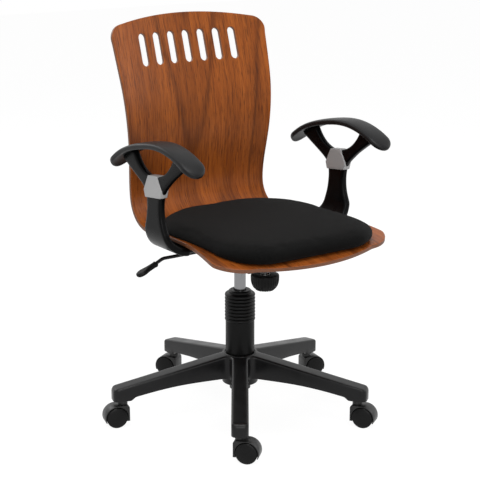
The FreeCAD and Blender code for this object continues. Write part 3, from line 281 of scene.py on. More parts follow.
def outward(loop: Array) -> Array:
    """Directions away from the material round a loop."""
    along = np.roll(loop, -1, axis=0) - np.roll(loop, 1, axis=0)
    along /= np.linalg.norm(along, axis=1)[:, None] + 1e-12
    return np.stack([along[:, 1], -along[:, 0]], axis=1)


# Meshes


def make_object(name: str, points: Array, faces: Sequence[Sequence[int]]) -> bpy.types.Object:
    """New object from points in metres and faces."""
    mesh = bpy.data.meshes.new(name)
    mesh.from_pydata([tuple(p) for p in np.asarray(points, dtype=float)], [], [tuple(f) for f in faces])
    mesh.update()
    thing = bpy.data.objects.new(name, mesh)
    bpy.context.scene.collection.objects.link(thing)
    return thing


def face_outward(thing: bpy.types.Object, sharp_degrees: float = SHARP_DEGREES) -> None:
    """Turn the faces of a closed mesh outwards and shade it smooth between sharp edges."""
    work = bmesh.new()
    work.from_mesh(thing.data)
    bmesh.ops.recalc_face_normals(work, faces=work.faces)
    work.to_mesh(thing.data)
    work.free()
    thing.data.shade_smooth()
    thing.data.set_sharp_from_angle(angle=math.radians(sharp_degrees))


def filled(loops: Sequence[Array], spacing: float) -> tuple[Array, list[tuple[int, int, int]]]:
    """Triangles over an outline with holes.

    Args:
        loops: the outline and then its holes.
        spacing: distance between the points inside.

    Returns:
        All points, those of the loops first, and the triangles.
    """
    edge_points = np.vstack(loops)
    low, high = edge_points.min(axis=0), edge_points.max(axis=0)
    rows: list[Array] = []
    rise = spacing * math.sqrt(3) / 2
    for index, v in enumerate(np.arange(low[1] + rise / 2, high[1], rise)):
        first = low[0] + spacing * (0.25 if index % 2 else 0.75)
        u = np.arange(first, high[0], spacing)
        rows.append(np.stack([u, np.full_like(u, v)], axis=1))
    grid = np.vstack(rows) if rows else np.zeros((0, 2))
    if len(grid):
        grid = grid[inside(grid, loops)]
    if len(grid):
        clear = np.full(len(grid), 1e9)
        for point in edge_points:
            clear = np.minimum(clear, ((grid - point) ** 2).sum(axis=1))
        grid = grid[clear > (CLEAR_SHARE * spacing) ** 2]
    points = np.vstack([edge_points, grid])
    edges = []
    start = 0
    for loop in loops:
        edges += [(start + i, start + (i + 1) % len(loop)) for i in range(len(loop))]
        start += len(loop)
    scale = 1.0 / max(high - low)
    flat = [Vector((float(u - low[0]) * scale, float(v - low[1]) * scale)) for u, v in points]
    _, _, faces, origin, _, _ = geometry.delaunay_2d_cdt(flat, edges, [], 0, TINY, True)
    source = [min(where) if where else -1 for where in origin]
    triangles = [tuple(source[i] for i in face) for face in faces]
    triangles = [t for t in triangles if min(t) >= 0 and len(set(t)) == 3]
    centres = points[np.array(triangles)].mean(axis=1)
    keep = inside(centres, loops)
    return points, [t for t, good in zip(triangles, keep) if good]


def plate(name: str, loops: Sequence[Array], levels: Sequence[Level], spacing: float, place: Place,
          sharp: float = SHARP_DEGREES) -> bpy.types.Object:
    """Closed plate over an outline with holes, bent into place.

    Args:
        name: the piece's name.
        loops: outline against the clock and then the holes with it.
        levels: rings from the edge of the upper face to the edge of the lower one.
        spacing: size of the triangles of both faces.
        place: gives the place in space of flat points at a level.
        sharp: angle in degrees above which an edge shows.

    Returns:
        The object, with its flat places as UV map and its level's share as attribute.
    """
    ways = [outward(loop) for loop in loops]
    points: list[Array] = []
    flats: list[Array] = []
    shares: list[Array] = []
    faces: list[tuple[int, ...]] = []
    total = sum(len(loop) for loop in loops)

    def add(flat: Array, level: Level) -> int:
        """Store placed points and give the index of the first."""
        start = sum(len(block) for block in points)
        points.append(place(flat[:, 0], flat[:, 1], level))
        flats.append(flat)
        shares.append(np.full(len(flat), level.share))
        return start

    starts = []
    for level in levels[1:-1]:
        rings = np.vstack([loop - way * level.inset for loop, way in zip(loops, ways)])
        starts.append(add(rings, level))
    caps = []
    for level in (levels[0], levels[-1]):
        rings = [loop - way * level.inset for loop, way in zip(loops, ways)]
        flat, triangles = filled(rings, spacing)
        start = add(flat, level)
        caps.append(start)
        faces += [tuple(start + i for i in t) for t in triangles]
    order = [caps[0]] + starts + [caps[1]]
    rim_faces = len(faces)
    for above, below in zip(order[:-1], order[1:]):
        first = 0
        for loop in loops:
            for i in range(len(loop)):
                a, b = first + i, first + (i + 1) % len(loop)
                faces.append((above + a, below + a, below + b, above + b))
            first += len(loop)
    thing = make_object(name, np.vstack(points), faces)
    mesh = thing.data
    flat_all = np.vstack(flats)
    uv = mesh.uv_layers.new(name="Flat")
    corner_vertex = np.zeros(len(mesh.loops), dtype=np.int32)
    mesh.loops.foreach_get("vertex_index", corner_vertex)
    uv.data.foreach_set("uv", flat_all[corner_vertex].astype(np.float32).ravel())
    share = mesh.attributes.new("share", "FLOAT", "POINT")
    share.data.foreach_set("value", np.concatenate(shares).astype(np.float32))
    mesh["rim_start"] = rim_faces
    mesh["rim_ring"] = total
    face_outward(thing, sharp)
    return thing


def spin(name: str, profile: Sequence[Sequence[float]], count: int = 96, closed: bool = True,
         centre: Sequence[float] = (0.0, 0.0, 0.0), axis: Axis = Axis.UPRIGHT, sharp: float = SHARP_DEGREES,
         ) -> bpy.types.Object:
    """Solid of revolution.

    Args:
        name: the piece's name.
        profile: (radius, height) points in metres; a radius of nought makes a pole.
        count: parts round the axis.
        closed: True joins the last point to the first.
        centre: where height nought is.
        axis: which way the heights run.
        sharp: angle in degrees above which an edge shows.

    Returns:
        The object.
    """
    points: list[tuple[float, float, float]] = []
    rings: list[list[int]] = []
    for radius, height in profile:
        start = len(points)
        if radius < TINY:
            points.append((0.0, 0.0, height))
            rings.append([start] * count)
            continue
        for step in range(count):
            angle = 2 * math.pi * step / count
            points.append((radius * math.cos(angle), radius * math.sin(angle), height))
        rings.append(list(range(start, start + count)))
    faces = []
    pairs = list(zip(rings, rings[1:] + rings[:1])) if closed else list(zip(rings[:-1], rings[1:]))
    for low, high in pairs:
        for step in range(count):
            after = (step + 1) % count
            face = [low[step], low[after], high[after], high[step]]
            unique = list(dict.fromkeys(face))
            if len(unique) > 2:
                faces.append(unique)
    spots = np.array(points)
    if axis is Axis.ALONG:
        spots = spots[:, [1, 2, 0]]
    thing = make_object(name, spots + np.array(centre), faces)
    face_outward(thing, sharp)
    return thing


def sweep(name: str, line: Array, radius: float, count: int = 20) -> bpy.types.Object:
    """Round bar along a line, with rounded ends.

    Args:
        name: the piece's name.
        line: points in metres.
        radius: of the bar.
        count: parts round it.

    Returns:
        The object.
    """
    along = np.gradient(line, axis=0)
    along /= np.linalg.norm(along, axis=1)[:, None]
    side = np.cross(along[0], [0.0, 0.0, 1.0])
    if np.linalg.norm(side) < 0.1:
        side = np.cross(along[0], [0.0, 1.0, 0.0])
    points: list[Array] = []
    angles = np.linspace(0, 2 * math.pi, count, endpoint=False)

    def ring(centre: Array, way: Array, across: Array, size: float) -> None:
        """Add one ring of points."""
        up = np.cross(way, across)
        points.append(centre + size * (np.outer(np.cos(angles), across) + np.outer(np.sin(angles), up)))

    frames = []
    for way in along:
        side = side - way * float(side @ way)
        side /= np.linalg.norm(side)
        frames.append(side.copy())
    for share in BAR_END:
        tip = line[0] - along[0] * radius * 0.5 * (1 - share)
        ring(tip, along[0], frames[0], radius * math.sqrt(share))
    for centre, way, across in zip(line, along, frames):
        ring(centre, way, across, radius)
    for share in reversed(BAR_END):
        tip = line[-1] + along[-1] * radius * 0.5 * (1 - share)
        ring(tip, along[-1], frames[-1], radius * math.sqrt(share))
    faces: list[tuple[int, ...]] = []
    rings = len(points)
    for i in range(rings - 1):
        for j in range(count):
            k = (j + 1) % count
            faces.append((i * count + j, i * count + k, (i + 1) * count + k, (i + 1) * count + j))
    faces.append(tuple(range(count)))
    faces.append(tuple(range((rings - 1) * count, rings * count)))
    thing = make_object(name, np.vstack(points), faces)
    face_outward(thing, 60.0)
    return thing


def moved(thing: bpy.types.Object, matrix: Matrix) -> bpy.types.Object:
    """The piece with a place worked into its mesh."""
    thing.data.transform(matrix)
    if matrix.determinant() < 0:
        thing.data.flip_normals()
    return thing


def merged(name: str, parts: Sequence[bpy.types.Object]) -> bpy.types.Object:
    """One object from several, which go."""
    work = bmesh.new()
    for part in parts:
        work.from_mesh(part.data)
    mesh = bpy.data.meshes.new(name)
    work.to_mesh(mesh)
    work.free()
    whole = bpy.data.objects.new(name, mesh)
    bpy.context.scene.collection.objects.link(whole)
    for part in parts:
        bpy.data.objects.remove(part)
    return whole


def twin(thing: bpy.types.Object, name: str) -> bpy.types.Object:
    """The same piece on the other side of the chair."""
    copy = bpy.data.objects.new(name, thing.data.copy())
    bpy.context.scene.collection.objects.link(copy)
    return moved(copy, Matrix.Scale(-1, 4, Vector((1, 0, 0))))


def eased_copy(node: bpy.types.Object, name: str, width: float) -> bpy.types.Object:
    """Copy of a CAD node as one skin, with its sharp edges broken.

    Args:
        node: the CAD node.
        name: name of the new piece.
        width: of the broken edges, in metres.

    Returns:
        The piece.
    """
    work = bmesh.new()
    work.from_mesh(node.data)
    bmesh.ops.remove_doubles(work, verts=work.verts, dist=2e-6)
    bmesh.ops.dissolve_limit(work, angle_limit=math.radians(0.5), verts=work.verts, edges=work.edges)
    mesh = bpy.data.meshes.new(name)
    work.to_mesh(mesh)
    work.free()
    thing = bpy.data.objects.new(name, mesh)
    bpy.context.scene.collection.objects.link(thing)
    bevel = thing.modifiers.new("Broken edges", "BEVEL")
    bevel.width = width
    bevel.segments = 2
    bevel.limit_method = "ANGLE"
    bevel.angle_limit = math.radians(50)
    bevel.use_clamp_overlap = True
    settle(thing)
    thing.data.shade_smooth()
    thing.data.set_sharp_from_angle(angle=math.radians(35))
    return thing


def settle(thing: bpy.types.Object) -> bpy.types.Object:
    """Turn a piece's modifiers into plain mesh."""
    graph = bpy.context.evaluated_depsgraph_get()
    mesh = bpy.data.meshes.new_from_object(thing.evaluated_get(graph), preserve_all_data_layers=True,
                                           depsgraph=graph)
    thing.modifiers.clear()
    thing.data = mesh
    return thing


# Trees that repeat or shape a piece


class Nodes:
    """Node tree under construction."""

    def __init__(self, tree: bpy.types.NodeTree) -> None:
        """Keep the tree that nodes are added to."""
        self.tree = tree

    def add(self, kind: str, inputs: dict, **settings: object) -> bpy.types.Node:
        """Add a node, set it and join or fill its inputs."""
        return add_node(self.tree, kind, inputs, **settings)

    def sum_up(self, operation: str, a: object, b: object = 0.0) -> bpy.types.NodeSocket:
        """Result of a sum on two numbers."""
        return self.add("ShaderNodeMath", {0: a, 1: b}, operation=operation).outputs[0]


class Tree(Nodes):
    """Geometry tree under construction."""

    def __init__(self, name: str, inputs: Sequence[tuple[str, str, object]]) -> None:
        """Start a tree.

        Args:
            name: of the tree.
            inputs: (name, socket type, value) of each input.
        """
        super().__init__(bpy.data.node_groups.new(name, "GeometryNodeTree"))
        self.values = {}
        self.keys = {}
        for label, kind, value in inputs:
            socket = self.tree.interface.new_socket(label, in_out="INPUT", socket_type=kind)
            self.values[label] = value
            self.keys[label] = socket.identifier
        self.tree.interface.new_socket("Geometry", in_out="OUTPUT", socket_type="NodeSocketGeometry")
        self.start = self.tree.nodes.new("NodeGroupInput")
        self.finish = self.tree.nodes.new("NodeGroupOutput")

    def given(self, label: str) -> bpy.types.NodeSocket:
        """Socket of an input."""
        return self.start.outputs[label]

    def build(self, name: str, last: bpy.types.NodeSocket, material: bpy.types.Material) -> bpy.types.Object:
        """Close the tree, run it on an empty mesh and keep the plain result."""
        real = self.add("GeometryNodeRealizeInstances", {"Geometry": last})
        dressed = self.add("GeometryNodeSetMaterial", {"Geometry": real.outputs[0], "Material": material})
        self.tree.links.new(dressed.outputs[0], self.finish.inputs[0])
        thing = make_object(name, np.zeros((0, 3)), [])
        modifier = thing.modifiers.new("Tree", "NODES")
        modifier.node_group = self.tree
        for label, value in self.values.items():
            modifier[self.keys[label]] = value
        return settle(thing)


def add_node(tree: bpy.types.NodeTree, kind: str, inputs: dict, **settings: object) -> bpy.types.Node:
    """Add a node to a tree.

    Args:
        tree: where it goes.
        kind: type of the node.
        inputs: socket to value, another node's socket, or a node whose first output is meant.
        settings: properties of the node.

    Returns:
        The node.
    """
    node = tree.nodes.new(kind)
    for key, value in settings.items():
        setattr(node, key, value)
    for key, value in inputs.items():
        if isinstance(value, bpy.types.Node):
            value = value.outputs[0]
        if isinstance(value, bpy.types.NodeSocket):
            tree.links.new(value, node.inputs[key])
        else:
            node.inputs[key].default_value = value
    return node


def ring_of_copies(name: str, shape: bpy.types.Object, count: int, first_angle: float,
                   centre: Sequence[float], material: bpy.types.Material) -> bpy.types.Object:
    """Copies of a shape turned about an upright axis; the shape itself goes.

    Args:
        name: of the piece.
        shape: made round the origin.
        count: how many.
        first_angle: of the first copy, in radians.
        centre: of the ring.
        material: of the copies.

    Returns:
        The piece.
    """
    tree = Tree(name + "_tree", [
        ("Shape", "NodeSocketObject", shape), ("Count", "NodeSocketInt", count),
        ("First Angle", "NodeSocketFloat", first_angle), ("Centre", "NodeSocketVector", tuple(centre)),
    ])
    spots = tree.add("GeometryNodeMeshLine", {"Count": tree.given("Count"), "Offset": (0.0, 0.0, 0.0)})
    info = tree.add("GeometryNodeObjectInfo", {"Object": tree.given("Shape")})
    place = tree.add("GeometryNodeInputIndex", {})
    share = tree.sum_up("DIVIDE", place.outputs[0], tree.given("Count"))
    turn = tree.sum_up("MULTIPLY", share, 2 * math.pi)
    turn = tree.sum_up("ADD", turn, tree.given("First Angle"))
    way = tree.add("ShaderNodeCombineXYZ", {"Z": turn})
    copies = tree.add("GeometryNodeInstanceOnPoints", {
        "Points": spots, "Instance": info.outputs["Geometry"], "Rotation": way,
    })
    put = tree.add("GeometryNodeTransform", {"Geometry": copies, "Translation": tree.given("Centre")})
    thing = tree.build(name, put.outputs[0], material)
    bpy.data.objects.remove(shape)
    return thing


# Finishes


class Board(Nodes):
    """Material under construction, with its shader."""

    def __init__(self, name: str) -> None:
        """Start a material with a plain shader."""
        self.material = bpy.data.materials.new(name)
        self.material.use_nodes = True
        super().__init__(self.material.node_tree)
        self.shader = self.tree.nodes["Principled BSDF"]

    def put(self, name: str, value: object) -> None:
        """Set or join a socket of the shader."""
        if isinstance(value, bpy.types.NodeSocket):
            self.tree.links.new(value, self.shader.inputs[name])
        else:
            self.shader.inputs[name].default_value = value

    def object_place(self, scale: Sequence[float]) -> bpy.types.NodeSocket:
        """Object coordinates in metres, scaled."""
        place = self.add("ShaderNodeTexCoord", {}).outputs["Object"]
        return self.add("ShaderNodeMapping", {"Vector": place, "Scale": tuple(scale)}).outputs[0]

    def noise(self, vector: bpy.types.NodeSocket, detail: float = 2.0, roughness: float = 0.5,
              warp: float = 0.0) -> bpy.types.NodeSocket:
        """Noise at a scale of one."""
        node = self.add("ShaderNodeTexNoise", {
            "Vector": vector, "Scale": 1.0, "Detail": detail, "Roughness": roughness, "Distortion": warp,
        })
        return node.outputs["Fac"]

    def spread(self, value: object, low: float, high: float, to_low: float,
               to_high: float) -> bpy.types.NodeSocket:
        """A range of numbers spread over another, held at its ends."""
        node = self.add("ShaderNodeMapRange", {
            "Value": value, "From Min": low, "From Max": high, "To Min": to_low, "To Max": to_high,
        })
        return node.outputs[0]

    def blend(self, share: object, a: object, b: object) -> bpy.types.NodeSocket:
        """Colour between two colours."""
        node = self.tree.nodes.new("ShaderNodeMix")
        node.data_type = "RGBA"
        for index, value in ((0, share), (6, a), (7, b)):
            if isinstance(value, bpy.types.NodeSocket):
                self.tree.links.new(value, node.inputs[index])
            elif index == 0:
                node.inputs[index].default_value = value
            else:
                node.inputs[index].default_value = (*value, 1.0)
        return node.outputs[2]

    def bump(self, height: bpy.types.NodeSocket, strength: float, distance: float,
             under: Optional[bpy.types.Node] = None) -> bpy.types.Node:
        """Bump from a height."""
        inputs = {"Height": height, "Strength": strength, "Distance": distance}
        if under is not None:
            inputs["Normal"] = under.outputs[0]
        return self.add("ShaderNodeBump", inputs)


@dataclass(frozen=True)
class Moulded:
    """Moulded plastic or rubber with a fine grain."""

    name: str
    colour: Colour
    rough: float = 0.42
    grain: float = 1400.0
    depth: float = 0.08
    patch: float = 0.05
    level: float = 0.5

    def make(self) -> bpy.types.Material:
        """Build the material."""
        board = Board(self.name)
        fine = board.noise(board.object_place([self.grain] * 3), detail=3.0)
        broad = board.noise(board.object_place([26.0] * 3), detail=4.0, roughness=0.6)
        dark = tuple(c * 0.78 for c in self.colour)
        light = tuple(c * 1.22 for c in self.colour)
        board.put("Base Color", board.blend(board.spread(broad, 0.3, 0.7, 0.0, 1.0), dark, light))
        rough = board.spread(broad, 0.3, 0.7, self.rough - self.patch, self.rough + self.patch)
        board.put("Roughness", rough)
        board.put("Specular IOR Level", self.level)
        board.put("Normal", board.bump(fine, self.depth, 0.0004).outputs[0])
        return board.material


@dataclass(frozen=True)
class Metal:
    """Bare or plated metal, drawn along one axis."""

    name: str
    colour: Colour
    rough: float = 0.25
    stretch: Colour = (900.0, 900.0, 12.0)
    depth: float = 0.03
    metallic: float = 1.0

    def make(self) -> bpy.types.Material:
        """Build the material."""
        board = Board(self.name)
        lines = board.noise(board.object_place(self.stretch), detail=3.0)
        broad = board.noise(board.object_place([40.0] * 3), detail=3.0)
        dark = tuple(c * 0.86 for c in self.colour)
        board.put("Base Color", board.blend(lines, dark, self.colour))
        board.put("Roughness", board.spread(broad, 0.3, 0.7, self.rough * 0.8, self.rough * 1.2))
        board.put("Metallic", self.metallic)
        board.put("Normal", board.bump(lines, self.depth, 0.0003).outputs[0])
        return board.material


@dataclass(frozen=True)
class Veneer:
    """Satin open-grained veneer, its grain along the second flat coordinate."""

    name: str = "brown_veneer"
    light: Colour = (0.40, 0.108, 0.017)
    middle: Colour = (0.205, 0.047, 0.007)
    dark: Colour = (0.035, 0.007, 0.0015)
    rough: float = 0.32
    rings: float = 10.0

    def make(self) -> bpy.types.Material:
        """Build the material."""
        board = Board(self.name)
        flat = board.add("ShaderNodeUVMap", {}, uv_map="Flat").outputs[0]
        drift = board.noise(self._scaled(board, flat, 5.0, 1.2), detail=1.0)
        shift = board.spread(drift, 0.0, 1.0, -0.014, 0.014)
        across = board.add("ShaderNodeCombineXYZ", {"X": shift}).outputs[0]
        bent = board.add("ShaderNodeVectorMath", {0: flat, 1: across}, operation="ADD").outputs[0]

        def grain(u: float, v: float, detail: float, low: float, high: float) -> bpy.types.NodeSocket:
            """Streaks on the drifting grain, spread to nought to one."""
            streaks = board.noise(self._scaled(board, bent, u, v), detail, 0.6)
            return board.spread(streaks, low, high, 0.0, 1.0)

        fibre = grain(430.0, 13.0, 3.0, 0.36, 0.64)
        dash = grain(560.0, 26.0, 2.0, 0.54, 0.66)
        streak = grain(90.0, 2.4, 3.0, 0.36, 0.64)
        broad = grain(17.0, 0.9, 3.0, 0.40, 0.66)
        figure = board.noise(self._scaled(board, bent, 7.0, 0.42), detail=0.0)
        wave = board.sum_up("SINE", board.sum_up("MULTIPLY", figure, self.rings * 2 * math.pi))
        ring = board.sum_up("POWER", board.spread(wave, -0.2, 1.0, 0.0, 1.0), 7.0)
        ring = board.sum_up("MULTIPLY", ring, board.spread(fibre, 0.0, 1.0, 0.5, 1.0))
        share = board.sum_up("ADD", board.sum_up("MULTIPLY", fibre, 0.6),
                             board.sum_up("MULTIPLY", streak, 0.4))
        colour = board.blend(share, self.light, self.middle)
        for amount, mask in ((0.28, broad), (0.62, ring), (0.64, dash)):
            colour = board.blend(board.sum_up("MULTIPLY", mask, amount), colour, self.dark)
        board.put("Base Color", colour)
        board.put("Roughness", board.spread(fibre, 0.0, 1.0, self.rough - 0.05, self.rough + 0.07))
        board.put("Specular IOR Level", 0.2)
        under = board.bump(dash, 0.12, 0.0003)
        under.invert = True
        board.put("Normal", board.bump(fibre, 0.07, 0.0003, under).outputs[0])
        return board.material

    @staticmethod
    def _scaled(board: Board, flat: bpy.types.NodeSocket, u: float, v: float) -> bpy.types.NodeSocket:
        """Flat coordinates in metres, scaled across and along the grain."""
        return board.add("ShaderNodeMapping", {
            "Vector": flat, "Scale": (u, v, 1.0), "Location": (0.31, 0.17, 0.43),
        }).outputs[0]


@dataclass(frozen=True)
class PlyEdge:
    """Cut edge of the plywood: thin layers, lighter and darker by turns."""

    name: str = "plywood_edge"
    light: Colour = (0.34, 0.115, 0.034)
    dark: Colour = (0.055, 0.015, 0.005)
    layers: float = 7.0

    def make(self) -> bpy.types.Material:
        """Build the material."""
        board = Board(self.name)
        share = board.add("ShaderNodeAttribute", {}, attribute_name="share").outputs["Fac"]
        wobble = board.noise(board.object_place([90.0] * 3), detail=3.0)
        wobble = board.spread(wobble, 0.3, 0.7, -0.03, 0.03)
        turn = board.sum_up("MULTIPLY", board.sum_up("ADD", share, wobble), self.layers * math.pi)
        band = board.spread(board.sum_up("SINE", turn), -0.5, 0.5, 0.0, 1.0)
        fibre = board.noise(board.object_place([700.0, 700.0, 2200.0]), detail=3.0)
        colour = board.blend(band, self.dark, self.light)
        colour = board.blend(board.spread(fibre, 0.35, 0.7, 0.0, 0.45), colour, self.dark)
        board.put("Base Color", colour)
        board.put("Roughness", board.spread(fibre, 0.3, 0.7, 0.4, 0.6))
        board.put("Normal", board.bump(band, 0.15, 0.0003).outputs[0])
        return board.material


@dataclass(frozen=True)
class Cloth:
    """Tight woven upholstery cloth."""

    name: str = "black_cloth"
    colour: Colour = (0.003, 0.003, 0.0029)
    thread: float = 0.0016
    rough: float = 0.92

    def make(self) -> bpy.types.Material:
        """Build the material."""
        board = Board(self.name)
        step = math.pi / self.thread
        warp_wobble = board.noise(board.object_place([220.0] * 3), detail=2.0)
        wobble = board.spread(warp_wobble, 0.3, 0.7, -0.6, 0.6)
        place = board.add("ShaderNodeTexCoord", {}).outputs["Object"]
        parts = board.add("ShaderNodeSeparateXYZ", {"Vector": place})

        def threads(socket: bpy.types.NodeSocket, other: bpy.types.NodeSocket) -> bpy.types.NodeSocket:
            """Rounded threads across a slanted direction."""
            slant = board.sum_up("ADD", board.sum_up("MULTIPLY", socket, step),
                                 board.sum_up("MULTIPLY", other, step * 0.5))
            wave = board.sum_up("SINE", board.sum_up("ADD", slant, wobble))
            return board.sum_up("ABSOLUTE", wave)

        warp = threads(parts.outputs["X"], parts.outputs["Z"])
        weft = threads(parts.outputs["Y"], parts.outputs["X"])
        weave = board.sum_up("MULTIPLY", warp, weft)
        slub = board.noise(board.object_place([500.0, 120.0, 500.0]), detail=3.0)
        broad = board.noise(board.object_place([18.0] * 3), detail=3.0)
        # Painted light and shade: the weave's thread crests are painted lighter and the gaps between the threads
        # painted darker, following the same thread height as the bump.
        dark = tuple(c * 0.45 for c in self.colour)
        light = tuple(c * 1.5 for c in self.colour)
        colour = board.blend(weave, dark, light)
        colour = board.blend(board.spread(slub, 0.4, 0.75, 0.0, 0.35), colour, light)
        colour = board.blend(board.spread(broad, 0.35, 0.7, 0.0, 0.25), colour, self.colour)
        board.put("Base Color", colour)
        board.put("Roughness", board.spread(slub, 0.3, 0.7, self.rough - 0.06, self.rough + 0.05))
        board.put("Specular IOR Level", 0.10)
        board.put("Sheen Weight", 0.03)
        board.put("Sheen Roughness", 0.4)
        under = board.bump(slub, 0.2, 0.0005)
        board.put("Normal", board.bump(weave, 0.55, 0.0006, under).outputs[0])
        return board.material


@dataclass(frozen=True)
class BoardWood:
    """Plain birch board."""

    name: str = "plain_board"
    light: Colour = (0.52, 0.36, 0.20)
    dark: Colour = (0.33, 0.20, 0.10)

    def make(self) -> bpy.types.Material:
        """Build the material."""
        board = Board(self.name)
        grain = board.noise(board.object_place([160.0, 6.0, 160.0]), detail=4.0, warp=0.4)
        board.put("Base Color", board.blend(board.spread(grain, 0.35, 0.65, 0.0, 1.0), self.light, self.dark))
        board.put("Roughness", board.spread(grain, 0.3, 0.7, 0.5, 0.65))
        board.put("Normal", board.bump(grain, 0.1, 0.0004).outputs[0])
        return board.material


FINISHES: dict[str, object] = {
    "base_plastic": Moulded("base_plastic", (0.0062, 0.0062, 0.0066), 0.34, level=0.22),
    "sleeve_plastic": Moulded("sleeve_plastic", (0.003, 0.003, 0.003), 0.36, depth=0.05, level=0.12),
    "bellows_rubber": Moulded("bellows_rubber", (0.0028, 0.0028, 0.0028), 0.38, depth=0.06, level=0.15),
    "bush_plastic": Moulded("bush_plastic", (0.55, 0.53, 0.48), 0.45),
    "plain_steel": Metal("plain_steel", (0.42, 0.42, 0.41), 0.35),
    "black_steel": Moulded("black_steel", (0.008, 0.008, 0.0085), 0.42, grain=2200.0, depth=0.12, level=0.25),
    "bright_chrome": Metal("bright_chrome", (0.25, 0.25, 0.255), 0.2),
    "knob_plastic": Moulded("knob_plastic", (0.0035, 0.0035, 0.0035), 0.42, level=0.13),
    "plywood": Veneer(),
    "black_fabric": Cloth(),
    "board_wood": BoardWood(),
    "spacer_rubber": Moulded("spacer_rubber", (0.01, 0.01, 0.01), 0.7),
    "arm_plastic": Moulded("arm_plastic", (0.0022, 0.0022, 0.0024), 0.30, level=0.08),
    "arm_trim": Metal("arm_trim", (0.44, 0.44, 0.44), 0.42, stretch=(900.0, 900.0, 900.0), metallic=0.15),
    "pad_plastic": Moulded("pad_plastic", (0.0062, 0.0062, 0.0066), 0.42, grain=1100.0,
                           depth=0.14, level=0.18),
    "caster_plastic": Moulded("caster_plastic", (0.012, 0.012, 0.012), 0.38, level=0.34),
    "wheel_plastic": Moulded("wheel_plastic", (0.0045, 0.0045, 0.0045), 0.32, depth=0.04, level=0.15),
}


class Workshop:
    def __init__(self) -> None:
        """Load the frame and make the materials."""
        self.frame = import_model()
        self.cad_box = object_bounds()
        self.materials = {slot: finish.make() for slot, finish in FINISHES.items()}
        self.edge = PlyEdge().make()
        self.slot_of = {row["node"]: row["material_slot"] for row in self.frame["record"]["subparts"]}

    def dress(self, thing: bpy.types.Object, slot: str) -> None:
        """Give a piece the material of a slot, unless it has one."""
        if not thing.data.materials:
            thing.data.materials.append(self.materials[slot])

    def hand_over(self, thing: bpy.types.Object, body: str, slot: str, *nodes: str) -> None:
        """Finish a piece: give it the material of its slot, attach it to its body and hide the nodes it stands for.
        """
        self.dress(thing, slot)
        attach(thing, body)
        if nodes:
            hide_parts(*nodes)
        LOG.info("%s on %s: %d faces", thing.name, body, len(thing.data.polygons))

    def dress_cad(self) -> None:
        """Give the CAD nodes that stay their materials."""
        for name, node in self.frame["nodes"].items():
            node.data.materials.clear()
            node.data.materials.append(self.materials[self.slot_of[name]])
            node.data.shade_smooth()
            node.data.set_sharp_from_angle(angle=math.radians(30))


# Shell


